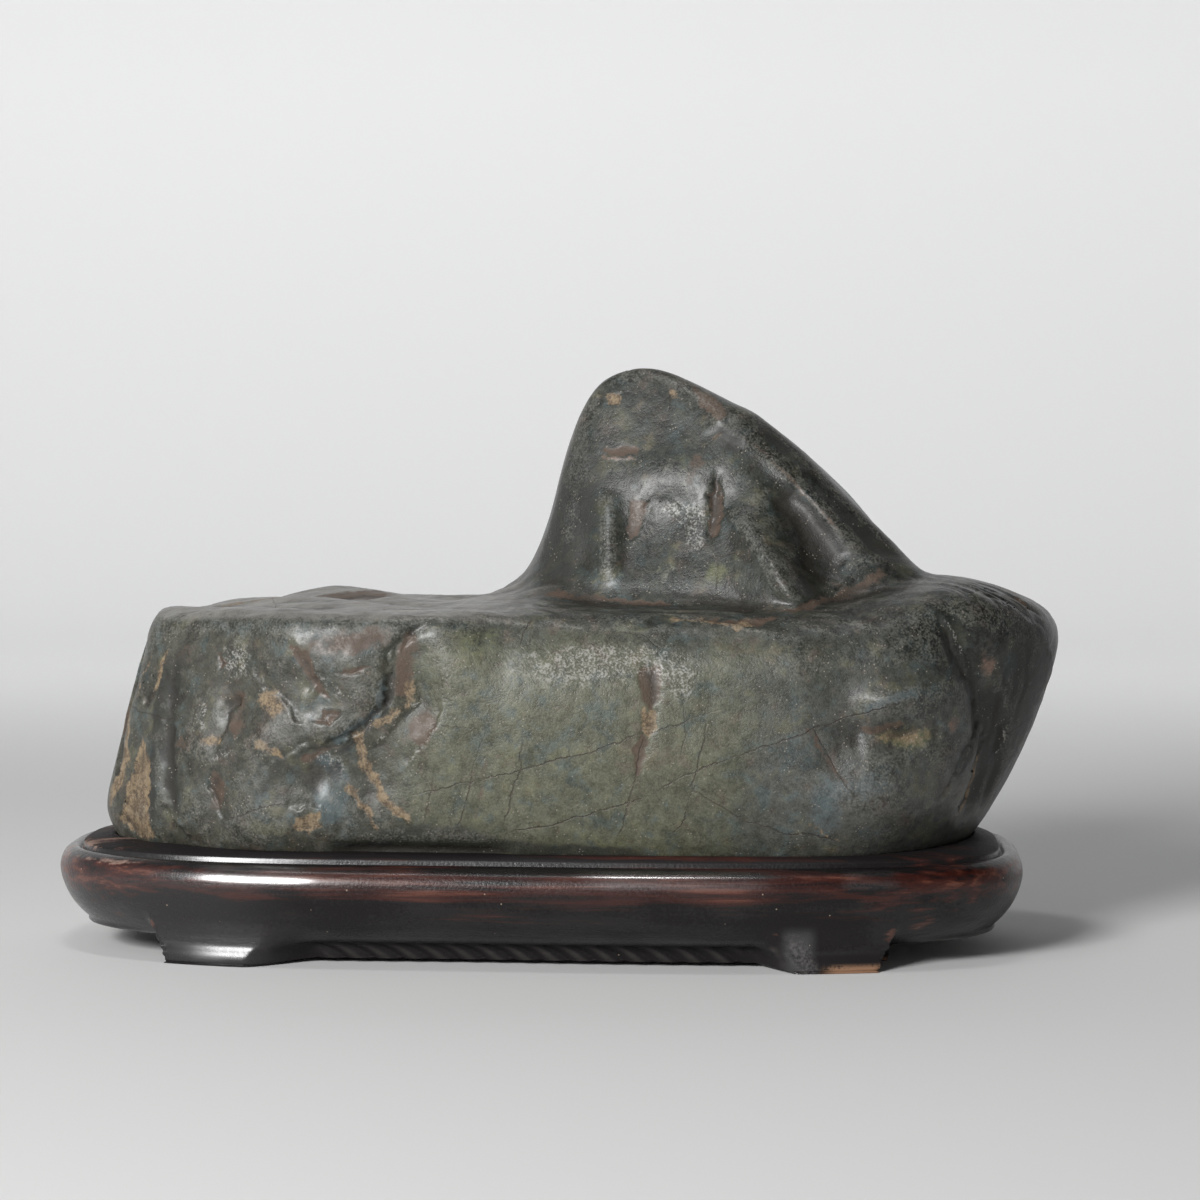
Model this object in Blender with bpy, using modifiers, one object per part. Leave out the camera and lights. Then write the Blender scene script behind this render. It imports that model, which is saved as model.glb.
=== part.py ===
"""A scholar's rock on its carved wooden stand.

The stone is a long, water-worn block with a flat table to the left, a steep peak to the right
of its middle and an overhanging right end. It drops into a pocket in the stand and can be
lifted out. +X runs along the stone to its overhanging end, the front faces -Y, and the origin
is on the surface the stand rests on, below the middle of the whole object.
Lengths are in millimetres; every mesh is scaled to metres as it is made.
"""

from math import cos, radians, sin, tan

import bmesh
import bpy
import numpy as np
from mathutils import Vector

METRES = 0.001

# Stone
STONE_BASE = 20.0  # the flat underside, hidden in the stand
TABLE_HEIGHT = 92.4  # the flat top left of the peak
MID_LEVEL = 60.0  # the level at which the side faces' distances are given
CURL_LEVEL = 35.0  # below this the sides curl in under the stone
CURL_LEAN = 36.0
WAIST = 0.6
SHOULDER_LEAN = -28.0  # the worn shoulder along the top of the front, right of the fissure
SHOULDER_OUT = 46.2
SHOULDER_LEVEL = 78.0
ROUGH_BLOCK = (262.0, 102.0, 82.0)  # the block and cone that the stone is worn out of
ROUGH_BLOCK_MIDDLE = (5.0, 0.0, 60.0)
ROUGH_CONE = (52.0, 22.0, 80.0)  # radius at its foot and its top, and its height
ROUGH_CONE_MIDDLE = (40.0, 8.0, 120.0)
ROUGH_CONE_STRETCH = (1.2, 0.8, 1.0)
ROUGH_VOXEL = 2.2
STONE_TRIANGLES = 5600

# Stand
STAND_MIDDLE_X = -5.0
STAND_HALF_LENGTH = 130.5
STAND_HALF_DEPTH = 56.0
POCKET_FLOOR = 19.7
LIP_TOP = 29.3
CLEARANCE = 0.4
STAND_STEPS = 120

# Cross-section of the stand outside its pocket, from the lip down: how far in from the widest
# line at the front, the same at the ends, and the height.
STAND_SECTION = [
    (9.0, 6.8, 28.5),  # outer edge of the lip
    (8.2, 5.9, 26.0),  # groove
    (7.2, 5.0, 26.8),  # bead
    (4.2, 3.0, 26.7),
    (1.3, 1.0, 25.0),
    (0.0, 0.0, 21.5),  # widest line
    (0.9, 0.9, 17.0),
]
# Below that, how far in and how high: first for the set-back skirt, then for a foot.
UNDERSIDE = [
    ((3.4, 12.2), (3.0, 12.4)),
    ((7.2, 8.2), (4.0, 8.8)),
    ((10.4, 6.2), (4.0, 5.8)),
    ((12.6, 5.4), (2.9, 3.4)),
    ((13.9, 2.0), (1.5, 1.4)),
    ((14.4, 1.2), (1.9, 0.0)),
    ((17.5, 1.2), (20.0, 0.0)),
    ((19.5, 4.5), (22.5, 4.5)),
]
SKIRT_ROWS_FROM = 3
SKIRT_HALF_LENGTH = 95.0  # it runs straight across under the ends of the stand
# Toes, front and back: where each starts and ends along X, and how far its sides flare. A toe
# narrows by TOE_TAPER on each side on its way down from TOE_TOP.
TOES = [(-107.0, -76.4, 3.0, 12.0), (61.6, 92.0, 4.5, 3.0)]
TOE_TAPER = 4.4
TOE_TOP = 9.0

# Side faces of the stone: the way each one faces (0 is +X, 90 is the back), how far it leans
# outwards (-) or overhangs (+), and how far out it stands at MID_LEVEL.
SIDE_FACES = [
    (180, -15, 118.0),
    (-125, -10, 79.0),
    (-92.6, -1.5, 46.5),
    (-52, 6, 95.0),
    (-22, 18, 122.0),
    (4, 20, 135.5),
    (48, 10, 103.0),
    (91, -3, 45.0),
    (128, -10, 81.0),
]

# Faces of the peak: the way each one faces, its steepness, and a point on it.
PEAK_FACES = [
    (186, 76, (-1.0, 12, 124)),
    (182, 47, (6.5, 12, 157.5)),
    (0, 6, (26, 12, 160.5)),
    (0, 31, (49.5, 12, 144.6)),
    (0, 50, (77.5, 12, 121.5)),
    (-103, 67, (30, -15, 97)),
    (-140, 76, (-1, -1, 97)),
    (-40, 50, (98, -6, 97)),
    (90, 66, (30, 43.5, 97)),
    (135, 72, (-4, 34, 97)),
    (50, 56, (92, 36, 97)),
]
PEAK_ROOT = 80.0  # the peak's own solid ends here, inside the block

# Swells (+) and hollows (-) of the front: x, z, half width, half height, how far it stands out.
FRONT_RELIEF = [
    (-83, 66, 5, 9, -1.8),
    (-88, 43, 4, 9, -1.5),
    (-74, 70, 8, 6, -1.3),
    (-61, 50, 9, 6, -1.4),
    (-93, 58, 5, 12, 1.0),
    (-70, 58, 10, 5, 0.9),
    (-52, 79, 8, 6, 1.0),
    (-48, 71, 6, 6, 1.6),
    (-56, 62, 9, 4, 1.4),
    (-66, 38, 12, 6, 0.8),
    (-34, 74, 5, 11, -1.6),
    (-45, 50, 7, 9, -1.5),
    (-30, 60, 7, 7, 0.8),
    (5, 66, 30, 20, 1.2),
    (60, 82, 25, 8, 1.2),
    (76, 63, 7, 13, -1.6),
    (90, 61.5, 10, 4.4, -3.6),
    (91, 70, 13, 3.6, 1.4),
    (84, 47, 13, 9, 2.2),
    (103, 57, 5, 10, 0.8),
]

# Swells and hollows of the peak's front, in the same way.
PEAK_RELIEF = [
    (30, 128, 12, 7, 1.5),
    (27, 111, 9, 8, -1.3),
    (47, 119, 6, 7, -1.0),
    (52, 100, 7, 6, 1.0),
    (30, 100, 14, 4, 0.8),
    (20, 148, 10, 7, 0.8),
    (5, 122, 5, 14, 0.8),
]

# Grooves (+) and ribs (-) in the front of the block and of the peak, as (x, z) paths, with
# depth and half width.
FISSURE = [(-29, 90), (-36, 88), (-40, 84), (-42, 80), (-42, 69), (-49, 62.5), (-60, 57.5), (-66, 54.5)]
FOOT_LEDGE = [(-60, 30), (-38, 30.5), (-8, 30)]
SLIT = [(26, 83), (28, 72), (27.5, 64), (24, 52)]
LEFT_HOLLOW = [(6, 128), (6.5, 112), (8, 99)]
COLUMN = [(13.5, 123), (13.7, 110), (14, 98)]
COLUMN_HOLLOW = [(19.5, 117), (19, 106), (19, 99)]
PEAK_SLIT = [(43.5, 130), (42, 119), (40.5, 108)]
SPUR_CREST = [(46, 119), (52, 112), (57, 105), (62, 98), (66, 93)]
SPUR_HOLLOW = [(56, 124), (63, 113), (70, 103), (76, 97)]
UPPER_CREST = [(36, 150), (43.5, 142), (56.5, 132.5), (70.5, 119), (80, 108)]
BLOCK_GROOVES = [
    (FISSURE, 3.0, 1.8),
    (FOOT_LEDGE, 1.8, 2.2),
    (SLIT, 1.0, 1.6),
]
PEAK_GROOVES = [
    (LEFT_HOLLOW, 0.9, 3.6),
    (COLUMN, -1.3, 2.7),
    (COLUMN_HOLLOW, 0.5, 2.4),
    (PEAK_SLIT, 1.2, 1.5),
    (SPUR_CREST, -1.8, 2.6),
    (SPUR_HOLLOW, 1.6, 4.5),
    (UPPER_CREST, -0.9, 2.6),
]

# Creases that run round a corner, as (x, y, z) paths, each with its depth and half width.
END_CREASE = [(103, -38, 95), (109, -37, 82), (113.5, -31, 70), (116, -24, 59), (115, -19, 48), (107, -21, 34)]
END_WRINKLE = [(117, -27, 72), (119, -20, 60), (118, -13, 49), (113, -10, 38)]
SKYLINE_GROOVE = [(52, 2, 144), (65, -3, 134), (76, -7, 122), (86, -9, 110), (94, -6, 103)]
CREASES = [
    (END_CREASE, 3.0, 4.5),
    (END_WRINKLE, 1.4, 2.2),
    (SKYLINE_GROOVE, 1.8, 4.0),
]


def soft_max(values, rounding):
    top = np.maximum.reduce(values)
    return top + rounding * np.log(sum(np.exp((value - top) / rounding) for value in values))


def soft_min(first, second, rounding):
    return -soft_max([-first, -second], rounding)


def swell(*offsets):
    """1 in the middle of a bump, falling smoothly to 0; each offset is in half widths."""
    return np.exp(-sum(offset * offset for offset in offsets))


def ramp(value, start, end):
    share = np.clip((value - start) / (end - start), 0, 1)
    return share * share * (3 - 2 * share)


def side_face(points, bearing, lean, out, level):
    turn, tilt = radians(bearing), radians(lean)
    reach = points[:, 0] * cos(turn) + points[:, 1] * sin(turn)
    return (reach - out - tan(tilt) * (points[:, 2] - level)) * cos(tilt)


def sloping_face(points, bearing, steepness, through):
    turn, steep = radians(bearing), radians(steepness)
    x, y, z = (points - through).T
    return (x * cos(turn) + y * sin(turn)) * sin(steep) + z * cos(steep)


def tapered_rod(points, start, end, start_radius, end_radius):
    start, run = np.array(start), np.subtract(end, start)
    share = np.clip((points - start) @ run / (run @ run), 0, 1)
    gap = np.linalg.norm(points - start - share[:, None] * run, axis=1)
    return gap - start_radius - (end_radius - start_radius) * share


def groove(points, path, depth, half_width):
    """Depth of a groove along a path, fading out over a fifth of its length at each end. A rib
    has a negative depth."""
    path = np.array(path, float)
    runs = np.diff(path, axis=0)
    lengths = np.linalg.norm(runs, axis=1)
    nearest = np.full(len(points), np.inf)
    place = np.zeros(len(points))
    for start, run, length, before in zip(path, runs, lengths, np.cumsum(lengths) - lengths):
        share = np.clip((points - start) @ run / length**2, 0, 1)
        gap = np.linalg.norm(points - start - share[:, None] * run, axis=1)
        place = np.where(gap < nearest, before + share * length, place)
        nearest = np.minimum(gap, nearest)
    place /= lengths.sum()
    fade = ramp(place, -0.05, 0.2) * ramp(1 - place, -0.05, 0.2)
    return depth * fade * swell(nearest / half_width)


def table_top(x, y):
    """The flat table: low ripples to the left, a swell under the right end."""
    height = TABLE_HEIGHT + 7.5 * swell((x - 104) / 24, (y + 4) / 60) - 1.8 * swell((x + 100) / 20)
    height += 1.6 * swell((x + 62 - 0.25 * y) / 26, (y - 25) / 26)
    height -= 0.9 * swell((x + 34 - 0.3 * y) / 9, (y - 10) / 40)
    ripples = np.sin((x + 0.9 * y) / 6.5 + 1.3 * np.sin(y / 13))
    return height + 0.7 * ripples * ramp(-x, 20, 45) * ramp(y, -34, -20)


def block(points):
    x, y, z = points.T
    faces = [z - table_top(x, y), STONE_BASE - z, sloping_face(points, 0, 52, (136, 0, 95.5))]
    shoulder_out = SHOULDER_OUT + 9 * ramp(-x, 10, 38)
    faces.append(side_face(points, -92.6, SHOULDER_LEAN, shoulder_out, SHOULDER_LEVEL))
    for bearing, lean, out in SIDE_FACES:
        faces.append(side_face(points, bearing, lean, out, MID_LEVEL))
        low = out + tan(radians(lean)) * (CURL_LEVEL - MID_LEVEL) + WAIST
        faces.append(side_face(points, bearing, CURL_LEAN, low, CURL_LEVEL))
    return soft_max(faces, 2.4 + 2.6 * ramp(x, -20, 80))


def peak(points):
    faces = [sloping_face(points, *face) for face in PEAK_FACES]
    form = soft_max(faces + [PEAK_ROOT - points[:, 2]], 2.2)
    spur = tapered_rod(points, (46, 3, 124), (64, -15, 96), 5, 11)
    form = soft_min(form, spur, 3)
    main_ridge = tapered_rod(points, (49, 5, 136), (95, -5, 91), 5, 9)
    form = soft_min(form, main_ridge, 3.5)
    scoop = tapered_rod(points, (56, -13, 137), (84, -32, 97), 9, 14)
    return soft_max([form, -scoop], 2.5)


def weathering(points):
    """How far the worn surface stands out from the plain form."""
    x, y, z = points.T
    front = points[:, [0, 2]]
    block_front = ramp(-y, 20, 36)
    peak_front = ramp(-y, -8, 2) * ramp(z, 92, 98)
    out = np.zeros(len(points))
    for middle_x, middle_z, half_width, half_height, rise in FRONT_RELIEF:
        out += rise * block_front * swell((x - middle_x) / half_width, (z - middle_z) / half_height)
    for middle_x, middle_z, half_width, half_height, rise in PEAK_RELIEF:
        out += rise * peak_front * swell((x - middle_x) / half_width, (z - middle_z) / half_height)
    for path, depth, half_width in BLOCK_GROOVES:
        out -= block_front * groove(front, path, depth, half_width)
    for path, depth, half_width in PEAK_GROOVES:
        out -= peak_front * groove(front, path, depth, half_width)
    for path, depth, half_width in CREASES:
        out -= groove(points, path, depth, half_width)
    # The left end has a broken, set-back face behind a rounded upright edge.
    out -= 1.6 * swell((x + 117) / 9, (y + 16) / 8) * ramp(z, 26, 34) * ramp(-z, -66, -50)
    out += 1.2 * swell((x + 107) / 5, (y + 24) / 6)
    # The back has broad swells and hollows.
    hidden_side = ramp(y, 5, 30) * ramp(z, 30, 48)
    out += 1.8 * hidden_side * np.sin(x / 17 + 0.6 * np.sin(z / 12)) * np.cos(z / 15 + x / 60)
    return out


def stone_form(points):
    """Roughly the distance outside the stone's surface; below 0 inside it."""
    foot_rounding = 2.2 + 4.5 * ramp(-points[:, 0], -14, 8)
    return soft_min(block(points), peak(points), foot_rounding) - weathering(points)


def wear_down(points, rounds):
    """Moves points on to the stone's surface, a little at a time."""
    step = 0.2
    for _ in range(rounds):
        depth = stone_form(points)
        tilt = np.stack([stone_form(points + step * axis) - depth for axis in np.eye(3)], axis=1) / step
        pull = depth / np.maximum((tilt * tilt).sum(axis=1), 0.25)
        points = points - np.clip(pull, -3, 3)[:, None] * tilt
    return points


def stone_edge(outer, inner, level):
    """Where straight lines from outer to inner points (x, y) meet the stone at a level."""
    out, back = np.zeros(len(outer)), np.ones(len(outer))
    heights = np.full(len(outer), level)
    for _ in range(30):
        middle = (out + back) / 2
        spot = outer + middle[:, None] * (inner - outer)
        outside = stone_form(np.column_stack([spot, heights])) > 0
        out, back = np.where(outside, middle, out), np.where(outside, back, middle)
    return outer + out[:, None] * (inner - outer)


def points_of(mesh):
    points = np.empty(len(mesh.vertices) * 3)
    mesh.vertices.foreach_get("co", points)
    return points.reshape(-1, 3) / METRES


def set_points(mesh, points):
    mesh.vertices.foreach_set("co", (points * METRES).ravel())
    mesh.update()


def evaluated_mesh(piece):
    bpy.context.view_layer.update()
    graph = bpy.context.evaluated_depsgraph_get()
    return bpy.data.meshes.new_from_object(piece.evaluated_get(graph))


def finish(name, colour, roughness):
    material = bpy.data.materials.new(name)
    material.use_nodes = True
    shader = material.node_tree.nodes["Principled BSDF"]
    shader.inputs["Base Color"].default_value = (*colour, 1)
    shader.inputs["Roughness"].default_value = roughness
    shader.inputs["Metallic"].default_value = 0
    return material


def rough_block(collection):
    """A sawn block with a cone on top, near enough in size to be worn down to the stone."""
    shape = bmesh.new()
    box = bmesh.ops.create_cube(shape, size=1)["verts"]
    bmesh.ops.scale(shape, vec=Vector(ROUGH_BLOCK) * METRES, verts=box)
    bmesh.ops.translate(shape, vec=Vector(ROUGH_BLOCK_MIDDLE) * METRES, verts=box)
    foot_radius, top_radius, height = np.array(ROUGH_CONE) * METRES
    cone = bmesh.ops.create_cone(
        shape, cap_ends=True, segments=32, radius1=foot_radius, radius2=top_radius, depth=height
    )["verts"]
    bmesh.ops.scale(shape, vec=ROUGH_CONE_STRETCH, verts=cone)
    bmesh.ops.translate(shape, vec=Vector(ROUGH_CONE_MIDDLE) * METRES, verts=cone)
    mesh = bpy.data.meshes.new("stone")
    shape.to_mesh(mesh)
    shape.free()
    piece = bpy.data.objects.new("stone", mesh)
    collection.objects.link(piece)
    return piece


def make_stone(collection):
    piece = rough_block(collection)
    remesh = piece.modifiers.new("even skin", "REMESH")
    remesh.mode = "VOXEL"
    remesh.voxel_size = ROUGH_VOXEL * METRES
    for rounds in (14, 10):
        mesh = evaluated_mesh(piece)
        set_points(mesh, wear_down(points_of(mesh), rounds))
        piece.data = mesh
    piece.modifiers.remove(remesh)
    mesh.shade_smooth()
    mesh.materials.clear()
    mesh.materials.append(finish("dark green-grey stone", (0.085, 0.095, 0.075), 0.42))
    thin = piece.modifiers.new("few triangles", "DECIMATE")
    thin.use_collapse_triangulate = True
    thin.ratio = STONE_TRIANGLES / (2 * len(mesh.polygons))
    return piece


def stand_outline(steps):
    """Points round the stand's widest line, and for each the point on its spine that it faces."""
    turn = np.linspace(0, 2 * np.pi, steps, endpoint=False)
    fullness = np.where(np.cos(turn) < 0, 2 / 2.7, 2 / 3.3)
    x = np.sign(np.cos(turn)) * np.abs(np.cos(turn)) ** fullness * STAND_HALF_LENGTH
    y = np.sign(np.sin(turn)) * np.abs(np.sin(turn)) ** fullness * STAND_HALF_DEPTH
    outline = np.column_stack([x, y])
    # A slight waist left of the middle of the front.
    outline[:, 1] += 1.6 * swell((x + 30) / 35) * ramp(-y, 20, 50)
    spine = np.column_stack([0.55 * x, np.zeros(steps)])
    middle = np.array([STAND_MIDDLE_X, 0])
    return outline + middle, spine + middle


def toe_share(x, narrowing):
    """How much each place along X belongs to a toe, 0 to 1."""
    share = np.zeros(len(x))
    for start, end, flare_before, flare_after in TOES:
        start, end = start + narrowing, end - narrowing
        toe = ramp(x, start - flare_before, start) * ramp(-x, -end - flare_after, -end)
        share = np.maximum(share, toe)
    return share


def stand_rings():
    """Closed rings of points from the middle of the pocket's floor round to the underside."""
    outline, spine = stand_outline(STAND_STEPS)
    x = outline[:, 0]
    inward = spine - outline
    inward /= np.linalg.norm(inward, axis=1)[:, None]
    end_share = ramp(np.abs(x - STAND_MIDDLE_X), 60, 125)

    wall = stone_edge(outline, spine, LIP_TOP) - CLEARANCE * inward
    crown = wall - inward
    rings = [(wall, POCKET_FLOOR), (wall, LIP_TOP), (crown, LIP_TOP + 0.2)]
    for front_inset, end_inset, height in STAND_SECTION:
        inset = front_inset + end_share * (end_inset - front_inset)
        rings.append((outline + inset[:, None] * inward, height))
    past_skirt = np.abs(x - STAND_MIDDLE_X) - SKIRT_HALF_LENGTH
    end_inset = past_skirt / np.maximum(np.abs(inward[:, 0]), 0.2)
    first_inset = UNDERSIDE[SKIRT_ROWS_FROM][0][0]
    for row, ((skirt_inset, skirt_height), (foot_inset, foot_height)) in enumerate(UNDERSIDE):
        if row >= SKIRT_ROWS_FROM:
            skirt_inset = np.maximum(skirt_inset, end_inset + skirt_inset - first_inset)
        foot_share = toe_share(x, TOE_TAPER * ramp(-foot_height, -TOE_TOP, 0))
        inset = skirt_inset + foot_share * (foot_inset - skirt_inset)
        height = skirt_height + foot_share * (foot_height - skirt_height)
        rings.append((outline + inset[:, None] * inward, height))
    return [np.column_stack([flat, np.broadcast_to(height, len(x))]) for flat, height in rings]


def make_stand(collection):
    shape = bmesh.new()
    rings = [[shape.verts.new(point * METRES) for point in ring] for ring in stand_rings()]
    for upper, lower in zip(rings, rings[1:]):
        for here in range(STAND_STEPS):
            after = (here + 1) % STAND_STEPS
            shape.faces.new((upper[here], lower[here], lower[after], upper[after]))
    shape.faces.new(rings[0])
    shape.faces.new(reversed(rings[-1]))
    bmesh.ops.recalc_face_normals(shape, faces=shape.faces)
    bmesh.ops.triangulate(shape, faces=shape.faces)
    mesh = bpy.data.meshes.new("stand")
    shape.to_mesh(mesh)
    shape.free()
    mesh.shade_smooth()
    mesh.set_sharp_from_angle(angle=radians(50))
    mesh.materials.append(finish("dark lacquered wood", (0.022, 0.010, 0.008), 0.3))
    piece = bpy.data.objects.new("stand", mesh)
    collection.objects.link(piece)
    return piece


for leftover in list(bpy.data.objects):
    bpy.data.objects.remove(leftover)

scholars_rock = bpy.data.collections.new("scholars_rock")
bpy.context.scene.collection.children.link(scholars_rock)
make_stone(scholars_rock)
make_stand(scholars_rock)
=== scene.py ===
from math import cos, pi, radians, sin, tan

import bmesh
import bpy
import numpy as np
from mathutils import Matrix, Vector, noise


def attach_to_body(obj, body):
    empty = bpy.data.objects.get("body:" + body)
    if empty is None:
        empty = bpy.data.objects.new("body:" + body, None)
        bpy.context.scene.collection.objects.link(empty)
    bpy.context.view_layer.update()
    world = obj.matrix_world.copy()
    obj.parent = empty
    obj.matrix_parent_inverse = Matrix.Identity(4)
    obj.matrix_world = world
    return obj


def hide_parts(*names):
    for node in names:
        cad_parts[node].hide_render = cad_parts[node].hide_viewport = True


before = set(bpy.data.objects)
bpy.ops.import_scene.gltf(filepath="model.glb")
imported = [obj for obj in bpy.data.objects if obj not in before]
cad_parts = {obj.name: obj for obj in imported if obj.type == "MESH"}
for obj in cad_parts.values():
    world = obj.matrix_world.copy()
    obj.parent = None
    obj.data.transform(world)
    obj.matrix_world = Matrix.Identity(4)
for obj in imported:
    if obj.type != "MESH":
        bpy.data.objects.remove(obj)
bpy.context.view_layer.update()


# ----------------------------------------------------------------------------------------------
# The stone: one river-worn block of hard, dark green-grey stone. Water rounded it and left
# fractures, chips and veins, and years of handling and wax gave it a soft, speckled gloss; part
# of the speckle is painted highlight, pale glints painted into its colour.
# It is worn out of its own solid to a finer surface, and lies loose in the stand's pocket.
# ----------------------------------------------------------------------------------------------

METRES = 0.001  # every length below is in millimetres
SKIN_VOXEL = 1.5

STONE_BASE = 20.0
TABLE_HEIGHT = 92.4
MID_LEVEL = 60.0  # the level at which the side faces' distances are given
CURL_LEVEL = 35.0  # below this the sides curl in under the stone
CURL_LEAN = 36.0
WAIST = 0.6
SHOULDER_LEAN = -28.0  # the worn shoulder along the top of the front, right of the fissure
SHOULDER_OUT = 46.2
SHOULDER_LEVEL = 78.0

# Side faces: the way each one faces (0 is +X, 90 is the back), how far it leans outwards (-) or
# overhangs (+), and how far out it stands at MID_LEVEL.
SIDE_FACES = [
    (180, -15, 118.0),
    (-125, -10, 79.0),
    (-92.6, -1.5, 46.5),
    (-52, 6, 95.0),
    (-22, 18, 122.0),
    (4, 20, 135.5),
    (48, 10, 103.0),
    (91, -3, 45.0),
    (128, -10, 81.0),
]

# Faces of the peak: the way each one faces, its steepness, and a point on it.
PEAK_FACES = [
    (186, 76, (-1.0, 12, 124)),
    (182, 47, (6.5, 12, 157.5)),
    (0, 6, (26, 12, 160.5)),
    (0, 31, (49.5, 12, 144.6)),
    (0, 50, (77.5, 12, 121.5)),
    (-103, 67, (30, -15, 97)),
    (-140, 76, (-1, -1, 97)),
    (-40, 50, (98, -6, 97)),
    (90, 66, (30, 43.5, 97)),
    (135, 72, (-4, 34, 97)),
    (50, 56, (92, 36, 97)),
]
PEAK_ROOT = 80.0

# Swells (+) and hollows (-) of the front: x, z, half width, half height, how far it stands out.
FRONT_RELIEF = [
    (-83, 66, 5, 9, -1.8),
    (-88, 43, 4, 9, -1.5),
    (-74, 70, 8, 6, -1.3),
    (-61, 50, 9, 6, -1.4),
    (-93, 58, 5, 12, 1.0),
    (-70, 58, 10, 5, 0.9),
    (-52, 79, 8, 6, 1.0),
    (-48, 71, 6, 6, 1.6),
    (-56, 62, 9, 4, 1.4),
    (-66, 38, 12, 6, 0.8),
    (-34, 74, 5, 11, -1.6),
    (-45, 50, 7, 9, -1.5),
    (-30, 60, 7, 7, 0.8),
    (5, 66, 30, 20, 1.2),
    (60, 82, 25, 8, 1.2),
    (76, 63, 7, 13, -1.6),
    (90, 61.5, 10, 4.4, -3.6),
    (91, 70, 13, 3.6, 1.4),
    (84, 47, 13, 9, 2.2),
    (103, 57, 5, 10, 0.8),
]

# Swells and hollows of the peak's front, in the same way.
PEAK_RELIEF = [
    (30, 128, 12, 7, 1.5),
    (27, 111, 9, 8, -1.3),
    (47, 119, 6, 7, -1.0),
    (52, 100, 7, 6, 1.0),
    (30, 100, 14, 4, 0.3),
    (20, 148, 10, 7, 0.8),
    (5, 122, 5, 14, 0.8),
]

# Grooves (+) and ribs (-) of the front of the block and of the peak: path, depth, half width.
FISSURE = [
    (-29, 90), (-35.5, 88), (-38.5, 85), (-42, 82.5), (-42, 70),
    (-44, 67.5), (-48.5, 63), (-53.5, 60), (-60, 57.5), (-66, 54.5),
]
BLOCK_GROOVES = [
    (FISSURE, 1.0, 1.1),
    ([(-60, 30), (-38, 30.5), (-8, 30)], 1.8, 2.2),
    ([(26, 83), (28, 72), (27.5, 64), (24, 52)], 0.35, 1.8),
]
PEAK_GROOVES = [
    ([(6, 128), (6.5, 112), (8, 99)], 0.9, 3.6),
    ([(13.5, 123), (13.7, 110), (14, 98)], -1.3, 2.7),
    ([(19.5, 117), (19, 106), (19, 99)], 0.5, 2.4),
    ([(43.5, 130), (42, 119), (40.5, 108)], 0.5, 1.5),
    ([(46, 119), (52, 112), (57, 105), (62, 98), (66, 93)], -1.8, 2.6),
    ([(56, 124), (63, 113), (70, 103), (76, 97)], 1.6, 4.5),
    ([(36, 150), (43.5, 142), (56.5, 132.5), (70.5, 119), (80, 108)], -0.9, 2.6),
]
CREASES = [
    ([(103, -38, 95), (109, -37, 82), (113.5, -31, 70), (116, -24, 59), (115, -19, 48), (107, -21, 34)], 3.0, 4.5),
    ([(117, -27, 72), (119, -20, 60), (118, -13, 49), (113, -10, 38)], 1.4, 2.2),
    ([(52, 2, 144), (65, -3, 134), (76, -7, 122), (86, -9, 110), (94, -6, 103)], 1.8, 4.0),
]


def soft_max(values, rounding):
    top = np.maximum.reduce(values)
    return top + rounding * np.log(sum(np.exp((value - top) / rounding) for value in values))


def soft_min(first, second, rounding):
    return -soft_max([-first, -second], rounding)


def swell(*offsets):
    """1 in the middle of a bump, falling smoothly to 0; each offset is in half widths."""
    return np.exp(-sum(offset * offset for offset in offsets))


def ramp(value, start, end):
    share = np.clip((value - start) / (end - start), 0, 1)
    return share * share * (3 - 2 * share)


def side_face(points, bearing, lean, out, level):
    turn, tilt = radians(bearing), radians(lean)
    reach = points[:, 0] * cos(turn) + points[:, 1] * sin(turn)
    return (reach - out - tan(tilt) * (points[:, 2] - level)) * cos(tilt)


def sloping_face(points, bearing, steepness, through):
    turn, steep = radians(bearing), radians(steepness)
    x, y, z = (points - through).T
    return (x * cos(turn) + y * sin(turn)) * sin(steep) + z * cos(steep)


def tapered_rod(points, start, end, start_radius, end_radius):
    start, run = np.array(start), np.subtract(end, start)
    share = np.clip((points - start) @ run / (run @ run), 0, 1)
    gap = np.linalg.norm(points - start - share[:, None] * run, axis=1)
    return gap - start_radius - (end_radius - start_radius) * share


def follow(points, path):
    """How far each point is from a path, how far along it, 0 to 1, and on which side: positive
    to the left of a walk along it. Works for flat (across, up) points and for points in space."""
    path = np.array(path, float)
    runs = np.diff(path, axis=0)
    lengths = np.linalg.norm(runs, axis=1)
    nearest = np.full(len(points), np.inf)
    place = np.zeros(len(points))
    side = np.zeros(len(points))
    for start, run, length, before in zip(path, runs, lengths, np.cumsum(lengths) - lengths):
        offset = points - start
        share = np.clip(offset @ run / length**2, 0, 1)
        gap = np.linalg.norm(offset - share[:, None] * run, axis=1)
        turn = (run[0] * offset[:, 1] - run[1] * offset[:, 0]) / length
        # At a corner two runs are equally near, and the one seen most squarely tells the side.
        nearer = (gap < nearest - 1e-6) | ((gap < nearest + 1e-6) & (np.abs(turn) > np.abs(side)))
        place[nearer] = before + share[nearer] * length
        side[nearer] = turn[nearer]
        nearest = np.minimum(gap, nearest)
    return nearest, place / lengths.sum(), side


def groove(points, path, depth, half_width):
    """Depth of a groove along a path, fading out over a fifth of its length at each end."""
    nearest, place, _ = follow(points, path)
    fade = ramp(place, -0.05, 0.2) * ramp(1 - place, -0.05, 0.2)
    return depth * fade * swell(nearest / half_width)


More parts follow.
